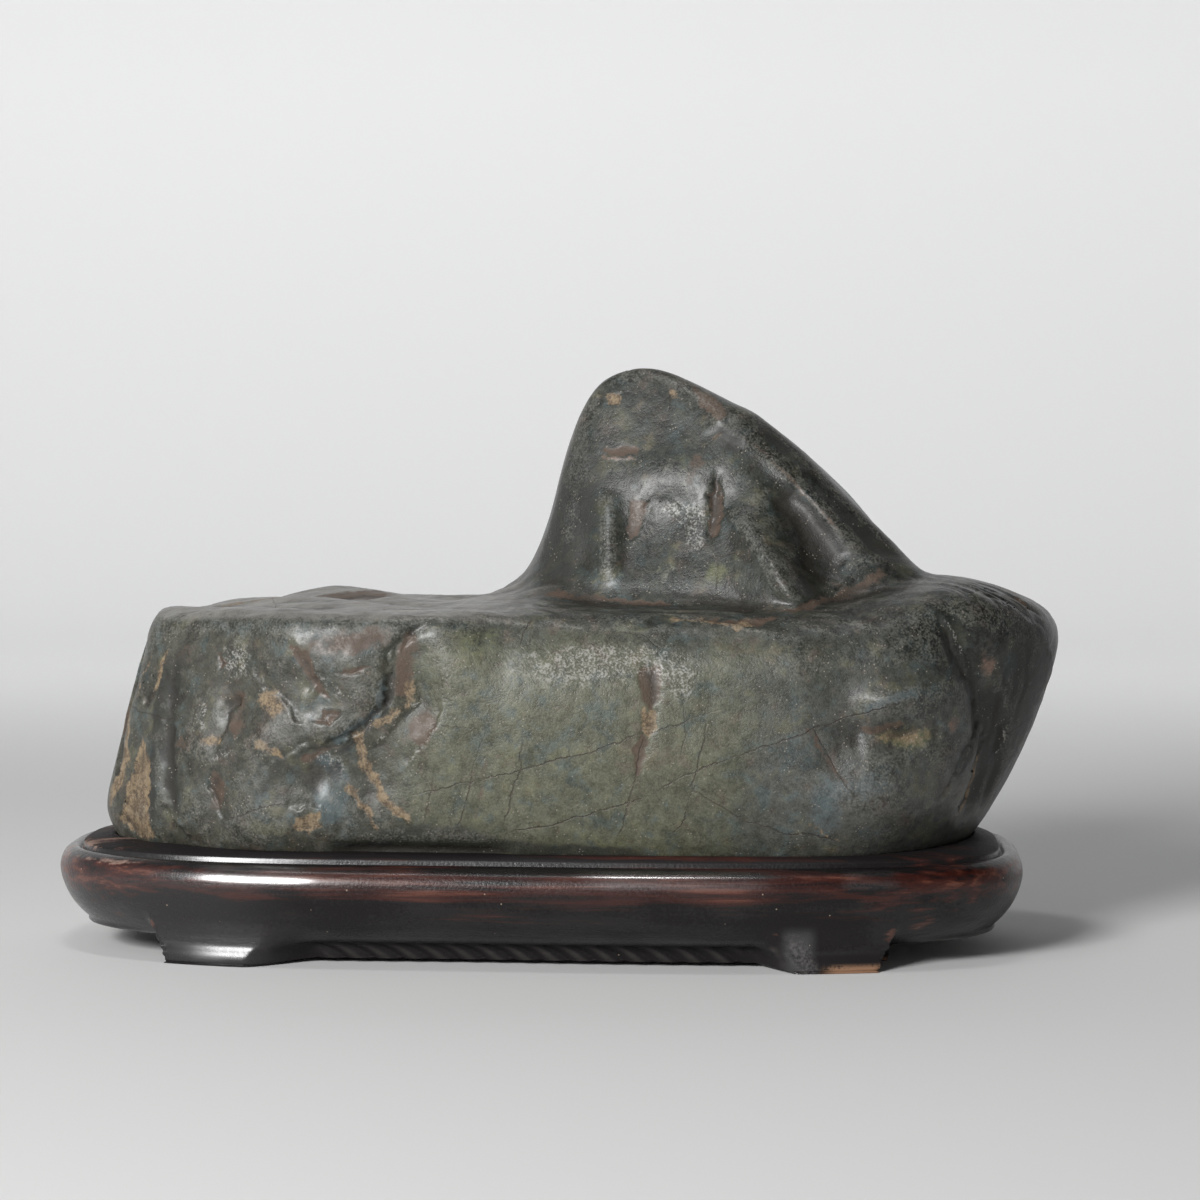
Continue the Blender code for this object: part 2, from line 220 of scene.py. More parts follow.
def table_top(x, y):
    """The flat table: low ripples to the left, a swell under the right end."""
    height = TABLE_HEIGHT + 7.5 * swell((x - 104) / 24, (y + 4) / 60) - 1.8 * swell((x + 100) / 20)
    height += 1.6 * swell((x + 62 - 0.25 * y) / 26, (y - 25) / 26)
    height -= 0.9 * swell((x + 34 - 0.3 * y) / 9, (y - 10) / 40)
    ripples = np.sin((x + 0.9 * y) / 6.5 + 1.3 * np.sin(y / 13))
    return height + 0.7 * ripples * ramp(-x, 20, 45) * ramp(y, -34, -20)


def block(points):
    x, y, z = points.T
    faces = [z - table_top(x, y), STONE_BASE - z, sloping_face(points, 0, 52, (136, 0, 95.5))]
    shoulder_out = SHOULDER_OUT + 9 * ramp(-x, 10, 38)
    faces.append(side_face(points, -92.6, SHOULDER_LEAN, shoulder_out, SHOULDER_LEVEL))
    for bearing, lean, out in SIDE_FACES:
        faces.append(side_face(points, bearing, lean, out, MID_LEVEL))
        low = out + tan(radians(lean)) * (CURL_LEVEL - MID_LEVEL) + WAIST
        faces.append(side_face(points, bearing, CURL_LEAN, low, CURL_LEVEL))
    return soft_max(faces, 2.4 + 2.6 * ramp(x, -20, 80))


def peak(points):
    faces = [sloping_face(points, *face) for face in PEAK_FACES]
    form = soft_max(faces + [PEAK_ROOT - points[:, 2]], 2.2)
    spur = tapered_rod(points, (46, 3, 124), (64, -15, 96), 5, 11)
    form = soft_min(form, spur, 3)
    main_ridge = tapered_rod(points, (49, 5, 136), (95, -5, 91), 5, 9)
    form = soft_min(form, main_ridge, 3.5)
    scoop = tapered_rod(points, (56, -13, 137), (84, -32, 97), 9, 14)
    return soft_max([form, -scoop], 2.5)


def weathering(points):
    """How far the worn surface stands out from the plain form."""
    x, y, z = points.T
    front = points[:, [0, 2]]
    block_front = ramp(-y, 20, 36)
    peak_front = ramp(-y, -8, 2) * ramp(z, 92, 98)
    out = np.zeros(len(points))
    for middle_x, middle_z, half_width, half_height, rise in FRONT_RELIEF:
        out += rise * block_front * swell((x - middle_x) / half_width, (z - middle_z) / half_height)
    for middle_x, middle_z, half_width, half_height, rise in PEAK_RELIEF:
        out += rise * peak_front * swell((x - middle_x) / half_width, (z - middle_z) / half_height)
    for path, depth, half_width in BLOCK_GROOVES:
        out -= block_front * groove(front, path, depth, half_width)
    for path, depth, half_width in PEAK_GROOVES:
        out -= peak_front * groove(front, path, depth, half_width)
    for path, depth, half_width in CREASES:
        out -= groove(points, path, depth, half_width)
    # The left end has a broken, set-back face behind a rounded upright edge.
    out -= 1.6 * swell((x + 117) / 9, (y + 16) / 8) * ramp(z, 26, 34) * ramp(-z, -66, -50)
    out += 1.2 * swell((x + 107) / 5, (y + 24) / 6)
    # The back has broad swells and hollows.
    hidden_side = ramp(y, 5, 30) * ramp(z, 30, 48)
    out += 1.8 * hidden_side * np.sin(x / 17 + 0.6 * np.sin(z / 12)) * np.cos(z / 15 + x / 60)
    return out


def stone_form(points):
    """Roughly the distance outside the stone's surface; below 0 inside it."""
    foot_rounding = 1.6 + 5.1 * ramp(-points[:, 0], -14, 8)
    return soft_min(block(points), peak(points), foot_rounding) - weathering(points)


def wear_down(points, rounds):
    """Moves points on to the stone's surface, a little at a time."""
    step = 0.2
    for _ in range(rounds):
        depth = stone_form(points)
        tilt = np.stack([stone_form(points + step * axis) - depth for axis in np.eye(3)], axis=1) / step
        pull = depth / np.maximum((tilt * tilt).sum(axis=1), 0.25)
        points = points - np.clip(pull, -3, 3)[:, None] * tilt
    return points


def points_of(mesh):
    points = np.empty(len(mesh.vertices) * 3)
    mesh.vertices.foreach_get("co", points)
    return points.reshape(-1, 3) / METRES


def normals_of(mesh):
    normals = np.empty(len(mesh.vertices) * 3)
    mesh.vertices.foreach_get("normal", normals)
    return normals.reshape(-1, 3)


def set_points(mesh, points):
    mesh.vertices.foreach_set("co", (points * METRES).ravel())
    mesh.update()


# Finer marks. Each lies on one side of the stone and is given in that side's own flat view: as
# it is seen from outside, how far across and how far up. For the front that is x and z.
SLANT = radians(40)
VIEWS = {
    "front": ((1, 0, 0), (0, 0, 1), (0, -1, 0)),
    "front left": ((cos(SLANT), -sin(SLANT), 0), (0, 0, 1), (-sin(SLANT), -cos(SLANT), 0)),
    "front right": ((cos(SLANT), sin(SLANT), 0), (0, 0, 1), (sin(SLANT), -cos(SLANT), 0)),
    "back": ((-1, 0, 0), (0, 0, 1), (0, 1, 0)),
    "left": ((0, -1, 0), (0, 0, 1), (-1, 0, 0)),
    "right": ((0, 1, 0), (0, 0, 1), (1, 0, 0)),
    "top": ((1, 0, 0), (0, 1, 0), (0, 0, 1)),
}

# Steps where a flake has split away: side, path, drop and reach. The ground drops to the left of
# a walk along the path, and comes level again over the reach.
STEPS = [
    ("front", FISSURE, 1.0, 9),
    ("front", [(-34, 77), (-34, 70), (-38.5, 66), (-42, 60.5), (-46, 56)], 0.4, 3),
    ("front", [(-38, 51), (-36, 54.5), (-32, 58.5), (-28.5, 63), (-27.5, 68), (-28, 71)], 0.5, 5),
    ("front", [(-34, 35), (-38, 38), (-41, 42), (-44, 46.5), (-48, 54), (-50, 61)], 0.5, 3),
    ("front", [(-44, 35), (-46.5, 38.5), (-49.5, 44), (-53, 49)], 0.4, 2.5),
    ("front", [(43, 127.5), (41, 124), (40, 121), (37, 119), (33.5, 118.5), (28.5, 121), (21, 122)], 0.12, 4),
    ("front", [(21.5, 132), (14, 131.5), (10.5, 134)], 0.14, 4),
    ("front", [(20, 108), (24, 114.5), (25, 120.5)], 0.15, 4),
    ("front", [(-94, 32), (-98.5, 34), (-101, 36), (-103, 41)], 0.8, 4),
    ("front", [(-88, 54), (-85, 60), (-84, 66), (-80, 70)], 0.7, 4),
    ("front", [(-79, 78), (-74, 72), (-68, 68), (-64, 62)], 0.6, 5),
    ("front", [(-76, 50), (-70, 54), (-66, 57), (-58, 59)], 0.5, 4),
    ("front", [(-70, 41), (-62, 41.5), (-56, 39.5), (-55, 35)], 0.4, 3),
    ("front", [(-92, 46), (-88, 41), (-86, 36)], 0.6, 4),
    ("front", [(87, 103), (66, 94.5), (52, 90.5), (37, 92.5), (24, 94), (12, 95)], 0.35, 2),
    ("front right", [(57.8, 97.6), (66.3, 98), (73.6, 96.8), (78.4, 93.4), (85.7, 89.3), (93, 85.6)], 0.8, 5),
    ("front right", [(63, 75), (60, 80), (57, 87), (54, 92.4)], 0.7, 4),
    ("front right", [(56, 40.5), (62.4, 52), (68.5, 63), (66, 73.5)], 0.9, 4),
    ("front right", [(65, 36), (73, 42), (69, 51), (73.8, 57.5), (70, 63)], 0.7, 3),
    ("front right", [(80, 52.5), (81.5, 57), (78, 62.5)], 0.5, 3),
    ("back", [(-70, 88), (-66, 78), (-70, 66), (-62, 55), (-64, 44)], 1.4, 7),
    ("back", [(20, 40), (30, 48), (44, 52), (52, 62), (50, 74)], 0.9, 8),
    ("back", [(80, 84), (84, 70), (78, 58), (86, 44)], 1.0, 6),
    ("back", [(-24, 140), (-30, 126), (-26, 112), (-34, 100)], 0.8, 6),
    ("left", [(4, 84), (10, 70), (6, 56), (14, 40)], 0.9, 6),
    ("right", [(-10, 84), (2, 74), (6, 62), (18, 50)], 0.8, 6),
]

# Shallow hollows (+) and ribs (-) that follow a line: side, path, depth, half width.
HOLLOWS = [
    ("front", [(60, 126), (66, 117), (72, 109), (78, 101)], 1.7, 5.0),
    ("front", [(55, 124), (61, 114), (67, 105)], -0.8, 3.5),
    ("front", [(23, 117), (30, 118), (38, 116)], 0.5, 5.0),
    ("front", [(80, 60.5), (90, 61), (101, 62)], -1.9, 4.6),
    ("front", [(83, 69.5), (90, 72), (97, 73), (108, 73)], -0.9, 2.6),
    ("front", [(67, 66), (71, 59), (76, 52), (84, 45)], 0.2, 1.3),
    ("front", [(43, 142), (50, 135)], 0.7, 4.5),
    ("front", [(-70, 78), (-62, 72)], 0.6, 3.0),
    ("front", [(-97, 80), (-95, 66), (-97, 50)], -0.5, 3.0),
    ("front", [(-102, 72), (-102.5, 54), (-100, 34)], 0.8, 2.2),
    ("front", [(-64, 47), (-56, 50), (-52, 42)], 0.6, 4.0),
    ("front", [(-33, 60), (-36, 66), (-31, 72)], 0.4, 4.0),
    ("front right", [(74.5, 80), (75.5, 68), (74, 55)], 0.35, 1.0),
    ("front right", [(79, 76), (80, 66), (78.5, 52)], 0.35, 1.0),
    ("front right", [(83, 84), (84.5, 72), (83, 60)], 0.3, 0.9),
]

# Chips: side, colour, outline (walked with the chip to the left), depth, how wide its edge is.
CHIPS = [
    ("front", "rust", [(-68, 83.5), (-64, 75), (-59, 70), (-56, 69.5), (-60.5, 77), (-62, 82)], 0.5, 2.0),
    ("front", "rust", [(-57, 76), (-50.5, 76.3), (-44, 78.5), (-51, 78.2)], 0.4, 0.8),
    ("front", "rust", [(-62, 64.5), (-57, 63.6), (-53.5, 66.5), (-58, 67.5)], 0.5, 1.2),
    ("front", "rust", [(-90, 82.5), (-88.5, 76), (-85, 78)], 0.6, 1.5),
    ("front", "tan", [(-66, 39.5), (-66.5, 35), (-62.5, 34), (-58.5, 36), (-60, 40)], 0.4, 1.4),
    ("front", "rust", [(23.5, 79), (24.8, 69.5), (28.5, 68), (30.5, 74), (29.5, 80.5)], 0.3, 1.6),
    ("front", "tan", [(25, 69), (24.5, 62), (27, 60.5), (29.4, 65), (29.6, 69)], 0.25, 1.4),
    ("front", "rust", [(25, 63), (22.6, 58), (22.4, 49), (24.6, 52), (27, 60)], 0.2, 1.2),
    ("front", "rust", [(43, 127), (40.8, 121.5), (40.3, 116), (41, 109), (43.5, 112), (44.5, 117.5), (44, 123.5)], 0.5, 1.0),
    ("front", "pale", [(28.5, 119.5), (33.5, 114), (35, 109), (37.5, 106), (40, 109), (40, 118.5), (35, 117)], 0.1, 1.5),
    ("front", "rust", [(19, 121), (18, 112), (20, 108.5), (24, 114.5), (25, 120)], 0.12, 1.0),
    ("front", "rust", [(11, 134), (14, 132), (21.5, 132.3), (22, 134.5), (17, 135.5)], 0.15, 1.2),
    ("front", "tan", [(11.5, 148.5), (12.5, 145.5), (16.5, 146.5), (16, 149)], 0.12, 0.8),
    ("front left", "tan", [(-73, 57), (-78, 45), (-82, 33), (-74, 29), (-65, 30), (-66.5, 52)], 0.5, 2.0),
    ("front left", "", [(-70, 79), (-76, 67), (-73, 62), (-68, 68)], 0.6, 3.0),
    ("front right", "", [(60, 82), (66, 74), (72, 76), (71, 84), (64, 88)], 0.5, 3.0),
    ("front right", "rust", [(70, 98.5), (79.6, 96.2), (86, 93), (91.8, 90), (90, 94), (80, 99)], 0.7, 1.5),
    ("back", "rust", [(10, 70), (6, 60), (14, 54), (22, 60), (20, 70)], 0.8, 3.0),
    ("back", "tan", [(-104, 60), (-100, 50), (-92, 56), (-96, 66)], 0.7, 2.5),
    ("back", "rust", [(-50, 130), (-54, 120), (-46, 116), (-42, 126)], 0.6, 2.0),
    ("left", "", [(20, 78), (16, 66), (22, 58), (28, 68)], 0.7, 2.0),
    ("top", "rust", [(-70, 6), (-58, 2), (-46, 8), (-50, 16), (-66, 15)], 0.4, 3.0),
]

# Coloured veins, bands and stains that follow a line: side, colour, path, half width, strength.
STREAKS = [
    ("front", "tan", [(-34, 35), (-38, 38.5), (-41.5, 42.5), (-44.5, 47), (-48, 54), (-50, 60), (-46, 64)], 1.7, 1.15),
    ("front", "tan", [(-44, 35), (-46.5, 39), (-49.5, 44), (-53, 49)], 1.4, 1.0),
    ("front", "tan", [(-47, 63), (-42.5, 64.5), (-38, 68), (-35.5, 72), (-34.5, 77)], 2.0, 0.85),
    ("front", "tan", [(-78, 58), (-73, 56.5), (-69, 54)], 1.6, 0.9),
    ("front", "rust", [(-33, 88), (-37, 83), (-37.5, 74), (-38.5, 69)], 3.2, 1.1),
    ("front", "rust", [(-31, 67), (-31, 62), (-34, 58)], 2.4, 0.7),
    ("front", "rust", [(-66, 53), (-60, 56), (-53, 58.5)], 1.4, 0.8),
    ("front", "rust", [(87, 102.5), (79, 96), (66, 93.5), (57, 91), (50, 89.5), (43, 90.5), (37, 92)], 1.0, 1.3),
    ("front", "tan", [(40, 91), (49, 89), (55, 90)], 0.7, 1.0),
    ("front", "rust", [(37, 92), (24, 93.5), (13, 94.5), (0, 95), (-12, 95)], 0.9, 1.2),
    ("front", "rust", [(34, 152), (38.5, 149), (45, 142)], 1.8, 0.9),
    ("front", "rust", [(38.5, 134), (36.5, 128), (34.5, 123)], 2.4, 0.75),
    ("front", "rust", [(45, 142), (56.5, 132), (70.5, 119), (80, 108)], 0.9, 0.8),
    ("front", "rust", [(-20, 37), (-17, 48), (-15, 58)], 0.9, 0.7),
    ("front", "rust", [(66, 66), (70, 60), (74, 54), (79, 48)], 0.9, 0.9),
    ("front", "tan", [(66, 39), (72, 35.5), (77, 33)], 0.6, 0.8),
    ("front", "tan", [(30, 92.5), (36, 91), (42, 90)], 0.8, 0.9),
    ("front", "clay", [(10.5, 132.5), (15, 131.5), (21.5, 132)], 0.5, 0.7),
    ("front", "pale", [(-52.5, 50), (-56, 53), (-61, 56)], 1.6, 0.9),
    ("front", "pale", [(-61.5, 79), (-58, 74), (-53, 70)], 1.3, 0.7),
    ("front", "pale", [(-34, 76), (-34, 70), (-38.5, 66), (-42, 60.5), (-46, 56)], 0.5, 0.9),
    ("front", "pale", [(-38, 51), (-36, 54.5), (-32, 58.5), (-28.5, 63), (-27.5, 68)], 0.5, 0.9),
    ("front", "pale", [(47, 116), (52, 112), (57, 105), (61, 98.5), (65, 94)], 0.7, 0.6),
    ("front", "blue", [(-59, 56), (-52, 62), (-45, 66), (-43, 72), (-43, 79)], 1.6, 0.9),
    ("front", "blue", [(80, 68), (88, 70.5), (98, 72)], 1.6, 0.9),
    ("front", "dark", [(-59, 53.5), (-50, 59), (-43.5, 65), (-40.5, 72), (-40.5, 82)], 1.0, 1.2),
    # Painted shade: a dark band along the foot of the stone, where it sits in the stand's pocket.
    ("front", "dark", [(-60, 30), (-30, 31), (0, 30.5), (30, 30)], 2.0, 1.3),
    # Painted shade in the crevice right of the tan wedge at the left end.
    ("front", "dark", [(-97, 84), (-102, 70), (-102.5, 54), (-101, 44), (-99, 33)], 2.2, 1.1),
    ("front", "dark", [(-68, 60), (-72, 50), (-78, 42)], 1.8, 0.7),
    ("front", "dark", [(-86, 72), (-84, 60), (-88, 50)], 1.6, 0.7),
    ("front left", "tan", [(-72, 66), (-70, 72), (-66, 82)], 0.9, 0.9),
    ("front left", "tan", [(-78, 66), (-76, 74), (-72, 82)], 0.9, 0.8),
    ("front left", "dark", [(-64, 31), (-66, 44), (-66, 58), (-68, 74), (-64, 80)], 2.2, 1.1),
    ("front right", "dark", [(54, 92.4), (57, 87.4), (60.5, 80), (64, 74), (68, 66), (66, 56), (60, 46)], 1.4, 1.2),
    ("front right", "pale", [(55, 92), (58, 87), (61.5, 80)], 0.5, 0.9),
    ("front right", "tan", [(73.5, 57), (69, 51), (73, 42), (66, 36)], 0.7, 1.0),
    ("front right", "pale", [(80, 52.5), (81.5, 57), (78, 62.5)], 0.7, 0.8),
    ("front right", "dark", [(74, 74), (76, 64), (74, 56), (77, 40)], 3.4, 1.2),
    ("top", "tan", [(-106, -2), (-92, 4), (-76, 3), (-60, 10)], 1.6, 0.8),
    ("top", "tan", [(-70, -22), (-56, -16), (-38, -18)], 1.2, 0.7),
    ("top", "rust", [(-50, -30), (-34, -26), (-20, -30)], 2.0, 0.8),
    ("back", "tan", [(60, 40), (64, 52), (60, 64), (66, 78)], 1.6, 1.2),
    ("back", "tan", [(-10, 36), (-18, 50), (-14, 62)], 1.3, 1.1),
    ("back", "rust", [(-84, 100), (-50, 95.5), (-10, 94), (14, 95)], 1.4, 1.2),
    ("back", "dark", [(-70, 88), (-66, 78), (-70, 66), (-62, 55), (-64, 44)], 1.6, 1.0),
    ("left", "tan", [(10, 34), (14, 50), (10, 66)], 1.8, 1.1),
]

# Hairline cracks that run mostly across a side: side, path, how strong.
SEAMS = [
    ("front", [(-37.5, 44.5), (-28.5, 47), (-21, 48.5), (-11, 51), (-2, 53.5), (12, 57), (21, 60.5), (29.5, 63), (39.5, 66), (46.5, 69)], 1.0),
    ("front", [(-22.5, 34.5), (-11, 35.5), (-0.5, 37), (9, 40), (20, 43), (26.5, 46), (32.5, 49), (41, 53.5), (49.5, 56), (59, 59.5), (67, 62.5), (78, 66.5), (87, 69), (106.5, 73)], 1.0),
    ("front", [(-28, 63.5), (-22.5, 62.5), (-16.5, 62.5)], 0.7),
    ("front", [(-86.5, 37), (-81.5, 38.5), (-75.5, 41), (-68, 42)], 0.9),
    ("front", [(15, 87.5), (24, 87.5), (30, 83)], 0.7),
    ("front", [(92, 84), (97, 80), (103, 76)], 0.6),
    ("front", [(19.5, 105), (23.5, 102), (26, 100.5)], 0.7),
    ("front", [(41.5, 106), (48, 107), (52, 104.5)], 0.8),
    ("front", [(41, 136), (44.5, 138.5), (48, 139)], 0.7),
    ("back", [(-110, 50), (-80, 58), (-50, 62), (-20, 70), (10, 74)], 0.9),
    ("back", [(-30, 38), (0, 46), (40, 50), (90, 62)], 0.9),
    ("left", [(-30, 60), (0, 66), (30, 62)], 0.7),
    ("right", [(-30, 56), (0, 64), (30, 78)], 0.7),
    ("top", [(-110, -20), (-90, -14), (-60, -18), (-36, -10), (-20, -14)], 0.8),
]

# Hairline cracks that run mostly up a side.
CRACKS = [
    ("front", [(-24, 34.5), (-21.5, 42.5), (-19, 53), (-17, 59.5), (-16, 63), (-14.5, 70.5)], 1.0),
    ("front", [(-14, 33), (-11.5, 36.5), (-9.5, 43.5), (-7, 52), (-6, 59.5)], 0.9),
    ("front", [(-32.5, 36.5), (-31, 43.5), (-30, 50.5)], 0.6),
    ("front", [(18, 34), (20.5, 39.5), (23, 51), (25.5, 62.5)], 0.8),
    ("front", [(31.5, 33), (36, 39.5), (38, 50.5), (41, 59.5), (41.5, 65.5)], 1.0),
    ("front", [(35, 55.5), (36, 62.5), (35.5, 69.5)], 0.6),
    ("front", [(26.5, 52), (33, 49), (37.5, 47.5), (44, 44), (51.5, 39.5), (61, 36), (73, 34.5), (77.5, 32)], 0.8),
    ("front", [(68, 64.5), (73, 57), (76.5, 50.5), (79, 46.5)], 0.9),
    ("front", [(15, 86), (17, 83)], 0.8),
    ("front", [(-4.5, 91), (-7.5, 84)], 0.7),
    ("front", [(43.5, 105), (43, 97)], 0.9),
    ("front", [(30, 149.5), (30, 144.5)], 0.7),
    ("back", [(-36, 34), (-30, 50), (-34, 66), (-28, 84)], 0.9),
    ("back", [(30, 88), (34, 72), (28, 58), (34, 40)], 0.9),
    ("back", [(64, 36), (68, 52), (62, 70)], 0.7),
    ("back", [(-20, 104), (-24, 118), (-18, 134)], 0.8),
    ("left", [(-8, 36), (-4, 52), (-10, 72)], 0.8),
    ("right", [(10, 36), (14, 52), (8, 76)], 0.8),
    ("top", [(-84, -30), (-76, -10), (-80, 14), (-70, 36)], 0.7),
]

# Rounder coloured patches: side, colour, across, up, half width, half height, turn, strength.
PATCHES = [
    ("front", "tan", -73, 68, 4, 4.5, -15, 1.0),
    ("front", "tan", -89, 58, 5, 2, 5, 0.9),
    ("front", "tan", 91.3, 61.2, 9.5, 4.2, 3, 0.9),
    ("front", "tan", 31, 149, 1.6, 1.4, 0, 1.0),
    ("front", "tan", 43, 137, 3, 1.2, 30, 0.6),
    ("front", "rust", -88, 45, 2.6, 6, 0, 1.2),
    ("front", "rust", -82.5, 69.5, 2.6, 2.6, 0, 0.9),
    ("front", "rust", -83, 62, 3, 5, -20, 0.8),
    ("front", "rust", -47, 86, 7, 3, 15, 0.9),
    ("front", "rust", -56, 84, 9, 4.5, 0, 0.8),
    ("front", "rust", -33, 64, 4, 6.5, -28, 1.0),
    ("front", "pale", 28, 100, 18, 4, 0, 0.4),
    ("front", "rust", -98, 56, 4, 4, 0, 0.8),
    ("front", "rust", 87, 63.8, 8, 1.3, 6, 1.2),
    ("front", "rust", 84, 59, 2.5, 2.5, 0, 0.8),
    ("front", "rust", 42, 145, 4, 2.2, -35, 0.9),
    ("front", "rust", 86, 100, 4, 2, 40, 0.7),
    ("front", "rust", 76, 98, 6, 1.6, -10, 0.6),
    ("front", "pale", -83, 79, 4.5, 5, 0, 0.9),
    ("front", "pale", -92, 64, 1.2, 6, -10, 0.8),
    ("front", "pale", -86, 54, 3.5, 2, 10, 0.9),
    ("front", "pale", 12, 79.5, 21, 5, 2, 1.25),
    ("front", "pale", 34, 76, 4, 7, 25, 1.0),
    ("front", "pale", 33, 117.5, 6, 2.8, -12, 1.1),
    ("front", "pale", 13.8, 103, 1.4, 3, 0, 0.8),
    ("front", "blue", -57, 42, 5, 7, 10, 1.1),
    ("front", "blue", -57, 52.5, 6, 2, -32, 1.1),
    ("front", "blue", 83, 49, 9, 6, 0, 0.7),
    ("front", "blue", 72, 43, 5, 9, 10, 0.8),
    ("front", "blue", -84, 88, 14, 3, 0, 0.6),
    # Painted shade: the foot of the stone, just above the stand's lip.
    ("front", "dark", -32, 34.5, 20, 3.0, -2, 1.2),
    ("front", "dark", 80, 55, 5, 5, -30, 0.5),
    ("front", "dark", 68, 112, 15, 8, -50, 0.8),
    ("front", "dark", 60, 138, 12, 5, -38, 0.9),
    ("front", "dark", 47, 137, 6, 4, -40, 1.1),
    ("front", "dark", 84, 110, 12, 5, -45, 1.0),
    # Painted shade on the right end.
    ("front right", "dark", 86, 74, 9, 18, 10, 1.0),
    ("front right", "dark", 78, 48, 10, 12, 30, 0.8),
    # Painted shade on the right end.
    ("right", "dark", -8, 72, 26, 20, 0, 0.6),
    ("front", "dark", 1, 116, 9, 22, -12, 1.4),
    ("front", "moss", 43, 102, 3.5, 2.8, 0, 0.9),
    ("front", "moss", 92, 61, 9, 4.0, 0, 1.2),
    ("front", "moss", -20, 86, 10, 6, 0, 0.6),
    ("front", "moss", 20, 88, 14, 3, 0, 0.5),
    ("front", "moss", 33, 128, 6, 8, 0, 0.5),
    ("front", "moss", 30, 100, 20, 4, 0, 0.4),
    ("front right", "clay", 68, 79, 2.8, 5, 20, 0.8),
    ("front right", "clay", 57, 63.5, 2.2, 2.6, 0, 1.0),
    ("front right", "blue", 76, 78, 3, 5, 10, 0.9),
    ("front right", "dark", 70, 68, 3, 4, 0, 1.1),
    ("front right", "tan", 84, 95.5, 5, 1.5, -25, 0.8),
    ("back", "rust", -60, 68, 8, 5, 30, 0.9),
    ("back", "rust", 40, 56, 6, 8, -20, 0.9),
    ("back", "rust", -30, 118, 5, 8, 10, 0.8),
    ("back", "pale", 46, 68, 7, 3, 30, 0.8),
    ("back", "pale", -96, 60, 4, 5, 0, 0.8),
    ("back", "blue", -20, 50, 14, 8, 10, 0.8),
    ("back", "blue", 70, 76, 8, 6, 0, 0.7),
    ("left", "rust", 6, 62, 4, 9, 10, 0.9),
    ("right", "rust", 4, 70, 6, 5, -20, 0.9),
    ("right", "blue", 16, 56, 8, 8, 0, 0.7),
    ("top", "rust", -66, 10, 12, 3, -10, 0.6),
    ("top", "rust", 122, 0, 5, 8, 0, 1.0),
]
# dark is darker stone, and painted shade at the marks noted as such.
# pale marks where pale glints are painted in as highlights, and where the stone is rougher and less waxed.
COLOURS = ["tan", "rust", "clay", "pale", "blue", "dark", "moss"]


def soft_noise(points, size, shift=0.0):
    """Smooth noise from about -1 to 1, with swells of the given size."""
    return np.array([noise.noise(Vector(point)) for point in points / size + shift])


def drift(points):
    """Small sideways wanderings, so that no edge or crack runs straight."""
    wide = np.array([noise.noise_vector(Vector(point)) for point in points / 6.0])
    fine = np.array([noise.noise_vector(Vector(point)) for point in points / 1.9 + 40])
    rough = np.array([noise.noise_vector(Vector(point)) for point in points / 0.9 + 80])
    return 1.2 * wide + 0.8 * fine + 0.3 * rough


def seen_from(side, points, normals):
    """The points in a side's flat view, and how far each one faces that way, 0 to 1."""
    across, up, out = np.array(VIEWS[side])
    return np.column_stack([points @ across, points @ up]), ramp(normals @ out, 0.1, 0.45)


def fine_relief(points, wandering, normals):
    """How far the chipped and pitted surface stands out from the worn one."""
    x, y, z = points.T
    out = np.zeros(len(points))
    for side, path, drop, reach in STEPS:
        flat, facing = seen_from(side, wandering, normals)
        gap, place, turn = follow(flat, path)
        fade = facing * ramp(place, 0, 0.15) * ramp(1 - place, 0, 0.15)
        gap = np.where(turn > 0, gap, -gap)
        out -= drop * fade * ramp(gap, -0.3, 0.5 + 0.8 * drop) * np.exp(-np.maximum(gap, 0) / reach)
        out += 0.10 * drop * fade * swell((gap + 0.7) / 0.9)
    for side, path, depth, half_width in HOLLOWS:
        flat, facing = seen_from(side, wandering, normals)
        out -= facing * groove(flat, path, depth, half_width)
    for side, _, outline, depth, edge in CHIPS:
        flat, facing = seen_from(side, wandering, normals)
        gap, _, turn = follow(flat, outline + outline[:1])
        out -= depth * facing * ramp(np.where(turn > 0, gap, -gap), -0.3, edge + 0.3)
    # Left of the fissure the stone broke in shallow scoops with ridges between them; in the
    # middle and on the right water has smoothed it.
    rough_left = ramp(-x, 30, 46) * ramp(-y, 5, 30)
    scoops = 0.30 - np.abs(soft_noise(points, 11, 5)) - 0.5 * np.abs(soft_noise(points, 5, 20))
    out += 0.60 * rough_left * scoops
    out += 0.22 * soft_noise(points, 12) + 0.07 * soft_noise(points, 4, 50)
    out += (0.03 + 0.07 * rough_left) * soft_noise(points, 2.2, 70)
    # Fine flowing wrinkles on the table and the tops of the ridges.
    on_top = ramp(normals[:, 2], 0.45, 0.85) * ramp(-z, -104, -96)
    flow = y + 0.35 * x + 13 * soft_noise(points, 30, 9) + 3 * soft_noise(points, 9, 14)
    uneven = 0.3 + 0.7 * ramp(soft_noise(points, 18, 33), -0.3, 0.4)
    out += on_top * uneven * (0.30 * np.sin(2 * pi * flow / 9) + 0.10 * np.sin(2 * pi * flow / 3.2))
    return out * ramp(z, 21, 27)


def nearest_line(lines, wandering, normals):
    """For each point the nearest of the hairlines: the distance to it, signed, and its strength."""
    best = np.full(len(wandering), 99.0)
    line_gap = np.zeros(len(wandering))
    line_depth = np.zeros(len(wandering))
    for side, path, strength in lines:
        flat, facing = seen_from(side, wandering, normals)
        gap, place, turn = follow(flat, path)
        fade = facing * ramp(place, 0, 0.12) * ramp(1 - place, 0, 0.12) * ramp(-gap, -2.5, -1.5)
        score = gap + 9 * (1 - fade)
        nearer = score < best
        best[nearer] = score[nearer]
        line_gap[nearer] = (gap * np.sign(turn))[nearer]
        line_depth[nearer] = (strength * fade)[nearer]
    return line_gap, line_depth


